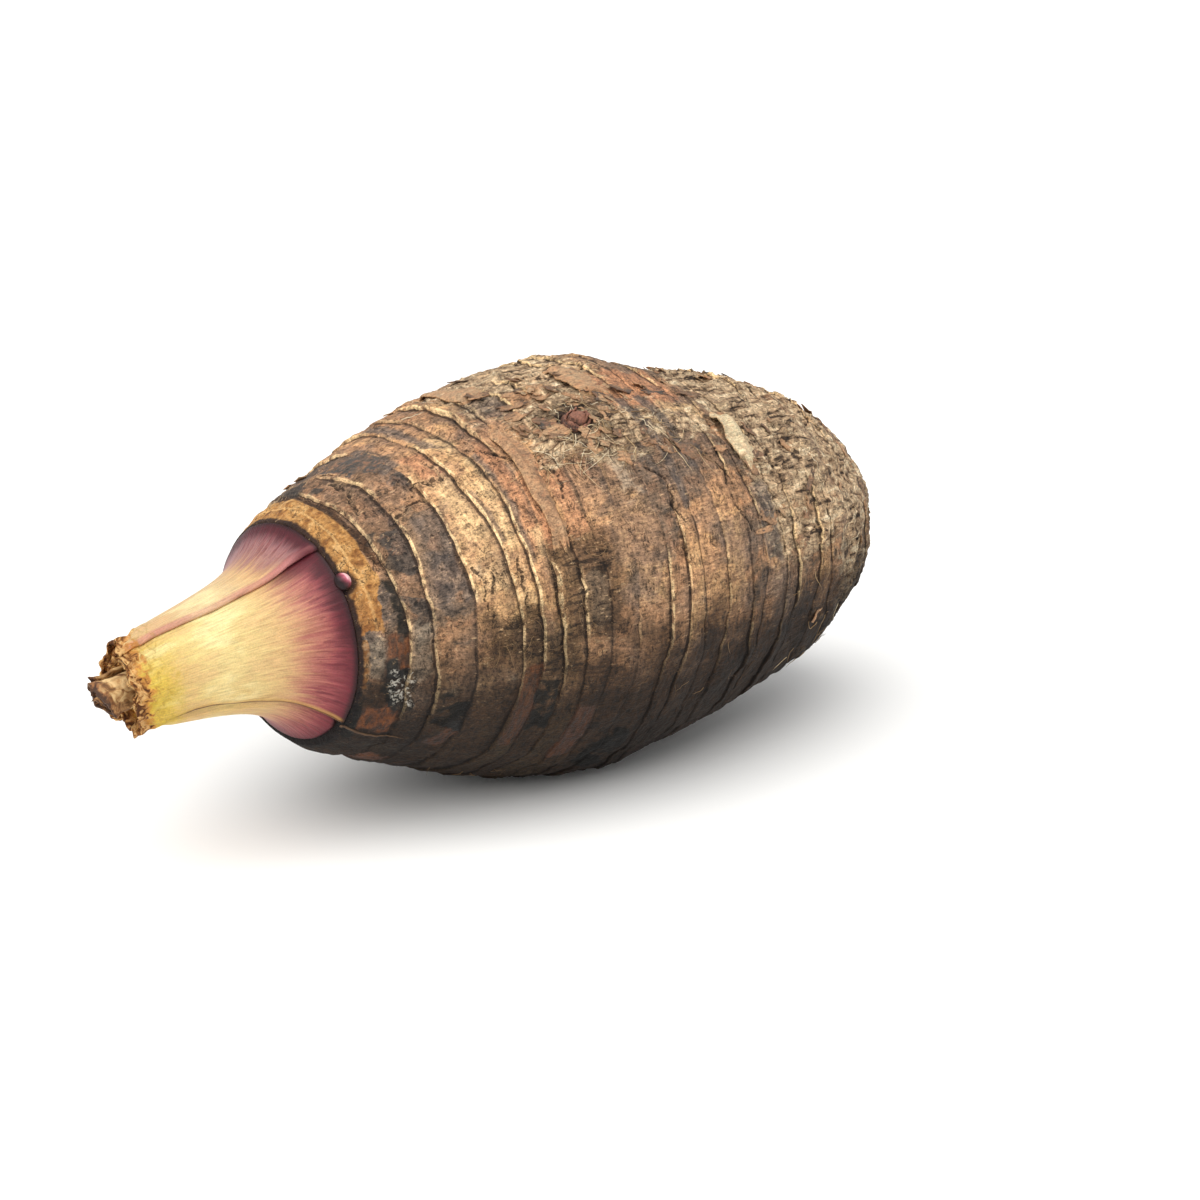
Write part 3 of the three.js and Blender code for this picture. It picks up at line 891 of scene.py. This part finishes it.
def make_leaf_base(name, node, angles_at, edge_kind, tuck, raised, rows=170, columns=110):
    """A shell between the two angles that angles_at gives for each distance from the crown. Its outside is
    the stalk's radius, raised where this leaf overlaps its neighbour and tucked in where it is overlapped.
    edge_kind says whether the overlapping edge is a pink_edge or a dry_edge."""
    across = np.linspace(0, 1, columns)[None, :]
    share = leaf_rows(rows)[:, None]
    low, high = angles_at(EDGES_END * share)
    angle = low + (high - low) * across
    rim = rim_at(angle)
    away = LEAF_GAP + (rim - LEAF_GAP) * share
    arc = np.radians(1) * stalk_radius(away)
    from_low, from_high = (angle - low) * arc, (high - angle) * arc
    plain = placed(-away, angle, stalk_radius(away))
    outer = stalk_radius(away) + crumple(plain, rim - away)
    fold = raised * (1 + 1.6 * smooth_step(14, 5, away) * smooth_step(0, 3, away))
    outer = outer + fold * smooth_step(6, 1.2, from_high) - tuck * smooth_step(6, 1, from_low)
    outer = outer + 0.5 * smooth_step(3, 0.5, away) - 0.4 * smooth_step(0.8, 0, away) ** 2
    outer = outer + 0.35 * cloud(plain, (30, 9, 9), seed=16)
    edge = np.minimum(from_low, from_high)
    outer = outer - 0.5 * smooth_step(0.7, 0, edge)
    thickness = 0.7 + (LEAF_THICKNESS - 0.7) * smooth_step(0, 6, edge) * smooth_step(0, 12, rim - away)
    part = shell_part(placed(-away, angle, outer), placed(-away, angle, outer - thickness))
    fields = {"away": away, "to_rim": rim - away, **{kind: FAR + 0 * away for kind in EDGE_KINDS}}
    fields[edge_kind] = from_high
    if tuck:
        fields["tucked"] = from_low
    fields = {key: np.tile(value.ravel(), 2) for key, value in fields.items()}
    uv = np.tile(leaf_map(angle, away), (2, 1))
    make_piece(name, part, leaf_finish, "leaf_base", [node], uv, **fields)


# %% [markdown]
# ## The leaf bases' finish
#
# Fresh leaf base is waxy and a little see-through. It is dark wine red where it joins the corm, breaks up
# into fine pink streaks and fades through peach to yellow. The streaks follow the veins, so their noise is
# read from the sheet's own map, many times longer along the stalk than across it. The dried rim is brown,
# with an orange border towards the fresh leaf.

# %% Leaf finish
def make_leaf_finish():
    """Colours by distance from the crown, then streaks and seams, with a painted shadow under the seam fold,
    then the torn rim with painted shade and highlight on its crinkles, and the dark foot, partly painted
    shade where it meets the corm.
    """
    leaf = Finish("leaf_base")
    flat = leaf.node("UVMap", {"uv_map": "Skin"})
    vein = leaf.noise(1.3, 3, (1, 13, 1), place=flat)
    fine_vein = leaf.noise(0.5, 2, (1, 16, 1), place=flat, shift=3)
    dash = leaf.noise(0.8, 2, (1, 6, 1), place=flat, shift=8)
    wash = leaf.noise(9, 3, (1, 2.2, 1), place=flat, shift=1)
    cell = leaf.noise(0.45, 2)
    away, to_rim = leaf.field("away"), leaf.field("to_rim")
    pink_edge, dry_edge = leaf.field("pink_edge"), leaf.field("dry_edge")
    height, upper, tucked = leaf.height(), pink_edge.step(FAR, FAR - 9), leaf.field("tucked")
    wander = (vein - 0.5) * 10 + (fine_vein - 0.5) * 8 + (wash - 0.5) * 10
    shifted = away + wander * away.step(0.3, 9)
    # Painted shadow: dark maroon under the seam fold on the front sheet and in the crease at the foot of the
    # upper edge.
    seam_painted_shadow = (pink_edge.step(3.2, 0.4) * away.step(8, 3)).at_least(tucked.step(8.5, 3.5) * away.step(17, 6))
    colour = (shifted * (1 / 60)).colour_ramp(
        (0.0, "3a1118"), (0.03, "66272f"), (0.075, "8c4648"), (0.13, "a86a5c"), (0.19, "bb8a69"),
        (0.27, "c6a271"), (0.4, "d3ba7e"), (0.6, "dbc587"), (0.8, "d0b670"), (1.0, "be9a49"))
    colour = colour.over(
        ("8c7071", upper * shifted.step(17, 8) * shifted.step(1.5, 5) * 0.55),
        ("c9a883", upper * away.step(12, 24) * 0.65),
        ("c79a4e", height.step(62, 40) * away.step(14, 26) * 0.55),
        ("cfa276", wash.step(0.47, 0.6) * away.step(8, 20) * 0.4),
        ("ecdfa8", wash.step(0.5, 0.38) * away.step(18, 30) * 0.5),
        ("6c222e", vein.step(0.5, 0.6) * away.step(17, 5) * 0.45),
        ("4d1822", dash.step(0.53, 0.62) * away.step(15, 3) * 0.5),
        ("3d121b", (away + (vein - 0.5) * 7).step(6, 1.5) * height.step(56, 72) * 0.85),
        ("4c1a22", upper * away.step(3.5, 0.8) * 0.7),
        ("a8763f", fine_vein.step(0.46, 0.36) * away.step(8, 20) * 0.12),
        # Pink along the upper sheet's overlapping edge: partly the edge's own pink, partly a painted
        # highlight on the raised fold.
        ("b06c6a", pink_edge.step(2.6, 1.0) * (0.3 + wash * 0.6)),
        # Painted shadow by the seam.
        ("4f1620", seam_painted_shadow * 0.85),
        ("bd9450", dry_edge.step(2.6, 1.4) * 0.6),
        ("5d3919", (dry_edge + (vein - 0.5) * 1.2).step(1.3, 0.7) * 0.9),
    )

    crinkle = leaf.noise(2.2, 4, (1, 1.6, 1), warp=1.2, shift=6)
    torn = to_rim + (crinkle - 0.5) * 9
    brown = torn.step(3.8, 2.0)
    # The dry rim's browns follow the crinkles: dark in the troughs and tan on the crests, a painted shade and
    # highlight over its own brown.
    rim_brown_painted_light = crinkle.colour_ramp((0.38, "4d2c14"), (0.48, "91602f"), (0.58, "cfa56c"))
    colour = colour.over(
        ("cbae36", torn.step(17, 8) * away.step(30, 45) * height.step(74, 58) * 0.7),
        # Painted shade: olive in the troughs of the crinkles near the rim.
        ("9b7c33", crinkle.step(0.5, 0.38) * torn.step(16, 6) * 0.45),
        ("b97a38", torn.step(5.5, 3.0) * 0.9),
        # The brown rim, with its painted shade and highlight.
        (rim_brown_painted_light, brown),
        # Nearly black foot where the leaf meets the corm: partly dark pigment, partly painted shade of the
        # gap.
        ("240d11", away.step(1.8, 0.5) * 0.9),
    )
    colour = colour.scaled(1.0 + (cell + fine_vein + dash - 1.5) * 0.5)

    relief = vein * 1.4 + fine_vein * 0.9 + cell * 0.6 + torn.step(17, 6) * crinkle * 4 + brown * crinkle * 3
    roughness = 0.48 + brown * 0.35 + (cell - 0.5) * 0.3
    soft = {"Subsurface Weight": 0.08, "Subsurface Radius": (1.0, 0.45, 0.2), "Subsurface Scale": 0.003}
    return leaf.finished(colour, roughness, relief, 0.16, **soft, **{"Specular IOR Level": 0.25})


leaf_finish = make_leaf_finish()

# %% The two wrapped leaf bases
make_leaf_base("leaf_base_upper_sheet", "leaf_base_upper",
               lambda away: (UPPER_START + 0 * away, between(UPPER_EDGE, away)),
               "pink_edge", 0.0, 0.55, columns=170)
make_leaf_base("leaf_base_front_sheet", "leaf_base_front",
               lambda away: (between(UPPER_EDGE, away) - OVERLAP, between(FRONT_EDGE, away)),
               "dry_edge", 0.75, 0.2)

# %% [markdown]
# ## The innermost leaf base and the heart
#
# The innermost base is a tube. It shows as a strip low on the front, and at the mouth its yellow rim stands
# inside the others. In its pocket stands the heart: the youngest leaf, still rolled up, cut off and dried.
# A roll is a spiral carried along the stalk, so the heart is one shell whose radius grows with its turns,
# cut slantwise at the top.

# %% Innermost base
INNER_TUCK = 2.7
POCKET_FLOOR = 49.0
POCKET_RADIUS = 8.0


def make_inner_base(rows=110, columns=120, wall_rows=16):
    """The outside runs from the crown to the rim, and the inside back down to the pocket's floor. The tube
    is narrower by INNER_TUCK where the other leaf bases cover it."""
    angle = np.linspace(-90, 270, columns, endpoint=False)[None, :]
    rim = rim_at(angle - 360 * (angle > 206)) - 1.0
    shows = 1 - smooth_step(30, 41, angle_between(angle, 168))
    share = leaf_rows(rows)[:, None]
    away = LEAF_GAP + (rim - LEAF_GAP) * share
    plain = placed(-away, angle + 0 * away, stalk_radius(away))
    covered = INNER_TUCK - (INNER_TUCK - 0.5) * shows
    outer = stalk_radius(away) - covered - 0.8 * smooth_step(1.5, 0, away)
    outer = outer + crumple(plain, rim - away) + 0.3 * cloud(plain, (30, 9, 9), seed=17)
    inside = np.linspace(1, 0, wall_rows)[:, None]
    down = POCKET_FLOOR + (rim - POCKET_FLOOR) * inside
    top = outer[-1] - 0.9
    wall = POCKET_RADIUS + (top - POCKET_RADIUS) * inside
    points = np.concatenate([placed(-away, angle + 0 * away, outer), placed(-down, angle + 0 * down, wall)])
    away = np.concatenate([away, down])
    angle = angle + 0 * away
    uv = np.concatenate([leaf_map(angle, away), [[0, 0], [0, POCKET_FLOOR * MM]]])
    to_rim = np.concatenate([(rim - away).ravel(), [FAR, FAR]])
    away = np.concatenate([away.ravel(), [0, POCKET_FLOOR]])
    make_piece("leaf_base_inner_tube", skin_part(points), leaf_finish, "leaf_base", ["leaf_base_inner"], uv,
               away=away, to_rim=to_rim, **{kind: FAR + 0 * away for kind in EDGE_KINDS})


make_inner_base()

# %% Heart
HEART_TURNS = 1.75
HEART_INNER, HEART_OUTER = 2.2, 7.0
HEART_WALL = 0.8


def make_heart(rows=70, columns=150):
    """A spiral: the radius grows evenly with the turn. Its height is cut by a slanting plane, highest on the
    upper front, and the edge is frayed by noise. Near the tip it flares a little and crumples."""
    turned = np.linspace(0, 1, columns)[None, :]
    angle = 40 + 360 * HEART_TURNS * turned
    slant = np.cos(np.radians(angle - 20))
    ring = np.stack([9 * np.cos(np.radians(angle)), 9 * np.sin(np.radians(angle)), 12 * turned], -1)
    rim = HEART_LENGTH - 4.6 + 3.2 * slant + 1.0 * clouds(ring, 6, 3, seed=41) - 1.6 * turned
    share = np.linspace(0, 1, rows)[:, None] ** 0.8
    away = POCKET_FLOOR + 1 + (rim - POCKET_FLOOR - 1) * share
    radius = HEART_INNER + (HEART_OUTER - HEART_INNER) * turned + 0 * share
    angle = angle + 0 * away
    dried = smooth_step(9, 0, rim - away)
    plain = placed(-away, angle, radius)
    radius = radius + dried * (0.9 * clouds(plain, 6, 3, seed=43) + 0.5) + 0.25 * cloud(plain, 3, seed=44)
    part = shell_part(placed(-away, angle, radius), placed(-away, angle, radius - HEART_WALL))
    uv = np.stack([radius.mean() * np.radians(angle), away], -1).reshape(-1, 2) * MM
    outside = np.repeat([1.0, 0.0], away.size)
    make_piece("heart_roll", part, heart_finish, "dried_stalk", ["heart_stalk"], np.tile(uv, (2, 1)),
               to_rim=np.tile((rim - away).ravel(), 2), outside=outside)


def make_heart_finish():
    """Tan within and brown outside, with veins along it and a nearly black torn edge."""
    dry = Finish("heart")
    flat = dry.node("UVMap", {"uv_map": "Skin"})
    vein = dry.noise(0.8, 3, (1, 9, 1), place=flat)
    blotch = dry.noise(3.0, 4, (1, 1.5, 1), warp=1.0)
    colour = blotch.colour_ramp((0.35, "93683a"), (0.5, "b98f5b"), (0.62, "cfae7b"))
    brown = blotch.colour_ramp((0.3, "5c3517"), (0.5, "8f5f36"), (0.7, "bb8e5c"))
    torn = dry.field("to_rim") + (blotch - 0.5) * 6
    colour = colour.over(
        (brown, dry.field("outside") * blotch.step(0.55, 0.4) * 0.6),
        (brown, torn.step(3.2, 1.4)),
        ("3a1f0e", torn.step(1.1, 0.2) * 0.85),
    )
    colour = colour.scaled(0.9 + (vein + blotch - 1.0) * 1.2)
    return dry.finished(colour, 0.6 + vein * 0.3, vein + blotch * 1.5, 0.25)


heart_finish = make_heart_finish()
make_heart()

# %% [markdown]
# ## The buds
#
# Two buds sit on the front. The pink one, no bigger than a pea, is wedged between the leaf bases and the
# corm, and its tip is pale. The brown one is dormant: a smooth knob inside dry scales that close round it
# like a nest of cups. Both are skins of revolution about the direction straight out of the root, and their
# scales are cups with a ragged rim.

# %% Buds
def local_frame(along, angle, radius):
    """A point over the root and three directions there: out of it, towards the tail, and round it."""
    origin = placed(np.array(along, float), np.array(angle, float), np.array(radius, float))
    turn = np.radians(angle)
    out = np.stack([0 * turn, -np.sin(turn), np.cos(turn)], -1)
    tail = np.stack([1 + 0 * turn, 0 * turn, 0 * turn], -1)
    return origin, out, tail, np.cross(out, tail)


def skin_radius(along, angle):
    """How far the corm's skin is from the axis at any place, found from the ring coordinate there: every
    scar that has been passed counts 1, and the band reached counts the share of it that has been crossed."""
    along, angle = np.broadcast_arrays(np.asarray(along, float), np.asarray(angle, float))
    crossing = ring_places(angle.ravel())
    passed = (along.ravel() - crossing[:-1]) / (crossing[1:] - crossing[:-1])
    ring = np.clip(passed, 0, 1).sum(0).reshape(along.shape)
    points = corm_surface(np.minimum(ring, len(RINGS) - 1.001), angle, along)[0]
    return np.hypot(points[..., 1] - AXIS_Y, points[..., 2] - root_axis(along))


def revolved(frame_at, heights, radii, columns=40, ragged=0.0, seed=0, oval=1.0):
    """A skin about the outward direction, from heights and radii along its profile. The oval stretches it
    towards the tail, and ragged moves each point in height by noise, most at the profile's highest place."""
    origin, out, tail, side = frame_at
    turn = np.linspace(0, 2 * np.pi, columns, endpoint=False)[None, :]
    height, radius = np.array(heights)[:, None], np.array(radii)[:, None]
    ring = np.stack(np.broadcast_arrays(2 * np.cos(turn), 2 * np.sin(turn), 0 * height), -1)
    top = np.clip(height / max(heights), 0, 1) ** 2
    height = height + ragged * top * clouds(ring, 1.1, 3, seed)
    across = (radius * np.cos(turn) * oval)[..., None] * tail + (radius * np.sin(turn))[..., None] * side
    return skin_part(origin + height[..., None] * out + across)


def make_crown_bud():
    """An onion shape: its radius is a sine of the way up, pulled in to a blunt tip. The lower half of the
    outer scale stands a little proud. The finish reads how far up each point is, with painted light added:
    lighter towards the top and the tail, darker towards the crown and the floor."""
    columns = 36
    up_share = np.linspace(0.02, 0.98, 26)
    radii = 2.5 * np.sin(np.pi * up_share ** 0.85) ** 0.75 + 0.12 * smooth_step(0.52, 0.48, up_share)
    heights = -2.1 + 4.9 * up_share
    part = revolved(local_frame(*CROWN_BUD, CROWN_RADIUS + 1.2), heights, radii, columns)
    share = np.concatenate([np.repeat(up_share, columns), [0, 1]])
    x, _, z = (part[0] - part[0].mean(0)).T
    # Painted light: the ramp's place rises up the bud and also towards its top and its tail side.
    rise_and_painted_light = 0.1 + 0.55 * share + 0.2 * x + 0.12 * z
    make_piece("crown_bud_tip", part, crown_bud_finish, "pink_bud", ["crown_bud"], up_bud=rise_and_painted_light)


def make_crown_bud_finish():
    """Nearly black at the foot, through wine red and pink to a pale tip, with the painted light on top of
    that.
    """
    bud = Finish("crown_bud")
    mottle = bud.noise(1.2, 3)
    rise = bud.field("up_bud") + (mottle - 0.5) * 0.3
    colour = rise.colour_ramp(
        (0.2, "1c0c0f"), (0.42, "4b2027"), (0.6, "813946"), (0.74, "b96474"), (0.86, "eebcc0"))
    return bud.finished(colour, 0.42 + (mottle - 0.5) * 0.2, mottle, 0.08, **{"Specular IOR Level": 0.3})


def make_side_bud():
    """A knob whose radius is a power of a sine, in two cups. Each cup leans in, and is a profile that goes
    up outside and comes back down inside."""
    spot = local_frame(*SIDE_BUD, float(skin_radius(*SIDE_BUD)) - 0.6)
    up_share = np.linspace(0.02, 0.98, 18)
    knob_columns, cup_columns = 30, 56
    knob_radii = 2.4 * np.sin(np.pi * up_share) ** 0.7
    parts = [revolved(spot, -1 + 4.3 * up_share, knob_radii, knob_columns, oval=1.15)]
    levels = [np.ones(len(parts[0][0]))]
    for cup, (radius, height) in enumerate([(2.7, 2.0), (4.0, 1.0)]):
        rise = np.linspace(0, 1, 9)
        outside = radius * (1.05 - 0.22 * rise ** 2)
        heights = np.concatenate([-1 + (height + 1) * rise, -0.6 + (height + 0.5) * rise[::-1]])
        radii = np.concatenate([outside, outside[::-1] - 0.45])
        parts.append(revolved(spot, heights, radii, cup_columns, ragged=1.7, seed=50 + cup, oval=1.2))
        up_and_down = np.concatenate([rise, rise[::-1]])
        levels.append(np.concatenate([np.repeat(up_and_down, cup_columns), [0, 0]]))
    make_piece("side_bud_scales", joined(parts), side_bud_finish, "brown_bud", ["side_bud"],
               up_scale=np.concatenate(levels))


def make_side_bud_finish():
    """Brown fibres, lighter towards the rims of the scales."""
    bud = Finish("side_bud")
    fibre = bud.noise(0.7, 4, warp=0.8)
    rise = bud.field("up_scale") + (fibre - 0.5) * 0.5
    colour = fibre.colour_ramp((0.35, "2c1a13"), (0.5, "4f3023"), (0.65, "7a5039"))
    colour = colour.over(("9a6651", rise.step(0.7, 1.1) * 0.8))
    return bud.finished(colour, 0.6, fibre, 0.5)


crown_bud_finish = make_crown_bud_finish()
side_bud_finish = make_side_bud_finish()
make_crown_bud()
make_side_bud()

# %% [markdown]
# ## Scales of husk
#
# Where the skin has dried it comes away in scales that still hold by one edge. A scale is a shell laid over
# the corm: its border is frayed by noise, it sinks into the skin along the side that holds, and it lifts
# towards the crown, where dark shows under it. The six large ones stand for the frame's pieces, and a crowd
# of small ones, with few faces each, roughens the bark.

# %% Large scales
def scale_part(along, angle, lift, seed, rows=30, columns=34, thick=0.45):
    """A ragged shell. p runs from -1 at the crown side to 1 at the side that holds, and q across. The
    borders move in and out by noise; its height is lift times a smooth step down from the crown side."""
    p, q = np.meshgrid(np.linspace(-1, 1, rows), np.linspace(-1, 1, columns), indexing="ij")
    sheet = np.stack([p * 3, q * 3, 0 * p + seed * 5], -1)
    fray = clouds(sheet, 1.6, 3, seed)
    squeeze = 1 + 0.18 * fray
    corner = 1 - 0.14 * (p * q) ** 2
    middle, half = np.mean(along), np.ptp(along) / 2
    turn, arc = np.mean(angle), np.ptp(angle) / 2
    place = middle + half * (p * corner * squeeze + 0.15 * cloud(sheet, 2.2, seed + 1))
    round_it = turn + arc * q * corner * squeeze
    held = np.maximum(smooth_step(-0.3, 0.9, p), smooth_step(0.75, 1.0, np.abs(q)) * 0.9)
    lips = plain_radius(place) + swelling(place, round_it) + 0.4
    height = lips + lift * (1 - held) * (0.8 + 0.5 * cloud(sheet, 1.5, seed + 2)) - 0.5 * held
    bump = 0.22 * clouds(sheet, (1.5, 0.6, 1), 3, seed + 3)
    outer = placed(place, round_it, height + bump)
    inner = placed(place, round_it, height + bump - thick)
    border = 1 - np.maximum(np.abs(p), np.abs(q))
    return shell_part(outer, inner), np.tile(border.ravel(), 2)


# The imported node; its tone from 0, dark and leathery, through 0.5, brown, to 1, bleached; how far it lifts;
# and how much of its length shows before it goes under the next ring.
SCALES = {
    "husk_scale_side": (0.5, 1.7, 0.5),
    "husk_scale_crown": (0.08, 0.7, 1),
    "husk_scale_ridge": (0.65, 1.3, 1),
    "husk_scale_top": (0.6, 1.8, 1),
    "husk_scale_tail": (1.0, 2.2, 1),
    "husk_scale_back": (0.4, 1.4, 1),
}


def span_of(node, shows):
    """Where a packed scale shows: its stretch along the root, and the angles of its ends."""
    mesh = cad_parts[node].data
    places = np.empty(len(mesh.vertices) * 3, np.float32)
    mesh.vertices.foreach_get("co", places)
    x, y, z = places.reshape(-1, 3).T / MM
    along = x - CROWN_X
    angle = np.degrees(np.arctan2(AXIS_Y - y, z - root_axis(along)))
    return (along.min(), along.min() + shows * np.ptp(along)), (angle.min(), angle.max())


def make_husk_finish():
    """The scale's own tone with clouds in it, a pale frayed border, dark and rusty patches, a fine grain."""
    husk = Finish("husk")
    blotch = husk.noise(4, 4, (1.5, 1, 1), warp=0.5)
    fibre = husk.noise(0.7, 3, (6, 1, 1), warp=0.5)
    speckle = husk.noise(0.5, 2)
    mottle = husk.noise(1.6, 5, (1.3, 1, 1), warp=0.4)
    tone = husk.field("tone") + (blotch - 0.5) * 0.9
    colour = tone.colour_ramp(
        (0.05, "49423c"), (0.25, "755b46"), (0.5, "ab8461"), (0.75, "a78b6b"), (1.0, "d3c19c"))
    colour = colour.over(
        ("bd966c", husk.field("border").step(0.12, 0.02) * fibre.step(0.4, 0.55) * 0.7),
        ("3a2819", blotch.step(0.66, 0.74) * 0.6),
        ("8e5c3c", mottle.step(0.5, 0.6) * 0.35),
    )
    colour = colour.scaled((1.05 + (fibre + speckle + mottle - 1.5) * 1.6).at_least(0.3))
    return husk.finished(colour, 0.8 + (blotch - 0.5) * 0.2, fibre + speckle * 0.8 + blotch + mottle, 0.4)


husk_finish = make_husk_finish()
for number, (node, (tone, lift, shows)) in enumerate(SCALES.items()):
    part, border = scale_part(*span_of(node, shows), lift, 60 + number)
    make_piece(node + "_sheet", part, husk_finish, "husk", [node], border=border, tone=tone + 0 * border)

# %% Small flakes
FLAKES = 150
# Where flakes lie: along, angle, how far they spread along and around, and the share of flakes there.
FLAKE_ZONES = np.array([
    (84, 20, 18, 20, 0.26), (110, 30, 20, 16, 0.16), (180, 0, 24, 110, 0.3), (150, 20, 16, 60, 0.16),
    (70, -60, 50, 50, 0.12),
])


def make_flakes():
    """Each flake is five by five points: a bent leaf shape, lifted at the crown side by a square law. The
    flakes lie mostly on the bark of the ridge and of the tail."""
    draw = np.random.default_rng(5)
    zone = FLAKE_ZONES[draw.choice(len(FLAKE_ZONES), FLAKES, p=FLAKE_ZONES[:, 4])]
    middle = np.clip(zone[:, 0] + zone[:, 2] * draw.uniform(-1, 1, FLAKES), 3, CORM_LENGTH - 9)
    turn = zone[:, 1] + zone[:, 3] * draw.uniform(-1, 1, FLAKES)
    length, width = draw.uniform(1.2, 3.6, (2, FLAKES)) * np.array([[1.3], [0.8]])
    lift, spin = draw.uniform(0.3, 1.3, FLAKES), draw.normal(0, 0.4, FLAKES)
    line = np.linspace(-1, 1, 5)
    p, q = (grid[None] for grid in np.meshgrid(line, line, indexing="ij"))
    one = slice(None), None, None
    ragged = 1 + 0.3 * draw.uniform(-1, 1, (FLAKES, 5, 5))
    a, b = length[one] * p * ragged, width[one] * q * ragged * (1 - 0.3 * p ** 2)
    place = middle[one] + a * np.cos(spin)[one] - b * np.sin(spin)[one]
    radius_here = skin_radius(middle, turn)[one]
    angle = turn[one] + np.degrees((a * np.sin(spin)[one] + b * np.cos(spin)[one]) / radius_here)
    slope = (skin_radius(middle + 2, turn) - skin_radius(middle - 2, turn))[one] / 4
    height = radius_here + slope * (place - middle[one])
    height = height + lift[one] * ((1 - p) / 2) ** 2 - 0.15 + 0.1 * q ** 2
    outer, inner = placed(place, angle, height), placed(place, angle, height - 0.25)
    part = joined([shell_part(*sheets) for sheets in zip(outer, inner)])
    tones = np.repeat(draw.uniform(0.1, 0.75, FLAKES), len(part[0]) // FLAKES)
    make_piece("bark_flakes", part, husk_finish, "husk", tone=tones, border=0 * tones + 0.5)


make_flakes()

# %% [markdown]
# ## Rootlets and loose fibres
#
# Thin fibres lie on the bark, cross each other round the brown bud and stand off in the shade low on the
# front. Each is a tube carried along a wandering path: the path's slope gives the tube's direction, and two
# directions square to it carry a small ring of points. All the fibres are worked out in one set of arrays.

# %% Fibres
def tube_parts(paths, radii, sides=5):
    """Closed tubes from paths with shape (tubes, points, 3) and radii with shape (tubes, points)."""
    slope = np.gradient(paths, axis=1)
    slope /= np.linalg.norm(slope, axis=-1, keepdims=True)
    level = np.cross(slope, [0.3, 0.5, 0.8])
    level /= np.linalg.norm(level, axis=-1, keepdims=True)
    other = np.cross(slope, level)
    turn = np.linspace(0, 2 * np.pi, sides, endpoint=False)[:, None]
    ring = level[:, :, None] * np.cos(turn) + other[:, :, None] * np.sin(turn)
    skins = paths[:, :, None] + ring * radii[..., None, None]
    return [skin_part(skin, path[[0, -1]]) for skin, path in zip(skins, paths)]


# Where fibres grow: along, angle, how far they spread along and around, how many there are, their length,
# how high they stand and how thick they are.
FIBRE_ZONES = [
    (84, 28, 12, 11, 90, 11, 0.8, 0.13), (44, 87, 7, 8, 40, 8, 1.8, 0.07),
    (76, 36, 14, 6, 40, 13, 0.7, 0.12), (62, 72, 8, 14, 30, 9, 1.4, 0.08),
    (42, 160, 22, 14, 10, 10, 2.6, 0.08), (105, 38, 16, 8, 30, 12, 0.7, 0.13),
    (180, 30, 20, 120, 50, 10, 1.3, 0.13), (120, 100, 30, 40, 20, 10, 1.2, 0.09),
    (100, -60, 60, 50, 30, 12, 1.0, 0.12),
]


def make_fibres(points=11):
    """A fibre starts at a random place in its zone and wanders: its heading is a random turn plus an even
    random curve. It rises from its foot with the 1.5th power of the way along it, and grows thinner with the
    square. Thin fibres stay dark."""
    draw = np.random.default_rng(23)
    share = np.linspace(0, 1, points)[None, :]
    parts, tones = [], []
    for middle, turn, spread, arc, count, length, stand, thick in FIBRE_ZONES:
        palest = 1.0 if thick > 0.1 else 0.45
        start = middle + spread * draw.uniform(-1, 1, (count, 1))
        angle = turn + arc * draw.uniform(-1, 1, (count, 1))
        heading = draw.uniform(0, np.pi, (count, 1)) + draw.normal(0, 1.3, (count, 1)) * share
        step = length * draw.uniform(0.4, 1.2, (count, 1)) / points
        along = np.clip(start + np.cumsum(step * np.cos(heading), axis=1), 1, CORM_LENGTH - 4)
        angle = angle + np.cumsum(np.degrees(step * np.sin(heading) / plain_radius(start)), axis=1)
        tallest = stand * draw.uniform(0.1, 1, (count, 1))
        height = tallest * share ** 1.5 * np.abs(draw.normal(0, 1, (count, 1)))
        radii = thick * draw.uniform(0.5, 1.2, (count, 1)) * (1 - 0.75 * share ** 2)
        paths = placed(along, angle, skin_radius(along, angle) + radii * 0.6 + height)
        paths[..., 2] = np.maximum(paths[..., 2], 0.3)
        parts += tube_parts(paths, radii)
        tones += [np.full(len(parts[-1][0]), tone) for tone in draw.uniform(0, palest, count)]
    make_piece("root_fibres", joined(parts), fibre_finish, "husk", tone=np.concatenate(tones))


def make_fibre_finish():
    """Each fibre's own tone, from dark brown to straw."""
    fibre = Finish("fibre")
    mottle = fibre.noise(1.5, 3)
    tone = fibre.field("tone") + (mottle - 0.5) * 0.3
    colour = tone.colour_ramp((0.1, "4a3422"), (0.45, "8d6f4c"), (0.7, "c4a77c"), (1.0, "e8dabb"))
    return fibre.finished(colour, 0.75 + (mottle - 0.5) * 0.2, mottle, 0.05)


fibre_finish = make_fibre_finish()
make_fibres()


def make_dried_strand():
    """The dry edge of the front leaf base runs on over the corm as one thin dark strand."""
    points, sides = 24, 6
    share = np.linspace(0, 1, points)[None, :]
    along = -1.5 + 18.5 * share
    angle = 130 + 2.5 * share + 0.8 * np.sin(5 * share)
    radius = np.where(along < 0.5, CROWN_RADIUS, skin_radius(np.maximum(along, 0.5), angle))
    radii = 0.38 * (1 - 0.8 * share ** 2)
    part = tube_parts(placed(along, angle, radius + 0.15), radii, sides)[0]
    make_piece("dried_strand", part, fibre_finish, "husk", tone=np.full(len(part[0]), 0.12))


make_dried_strand()
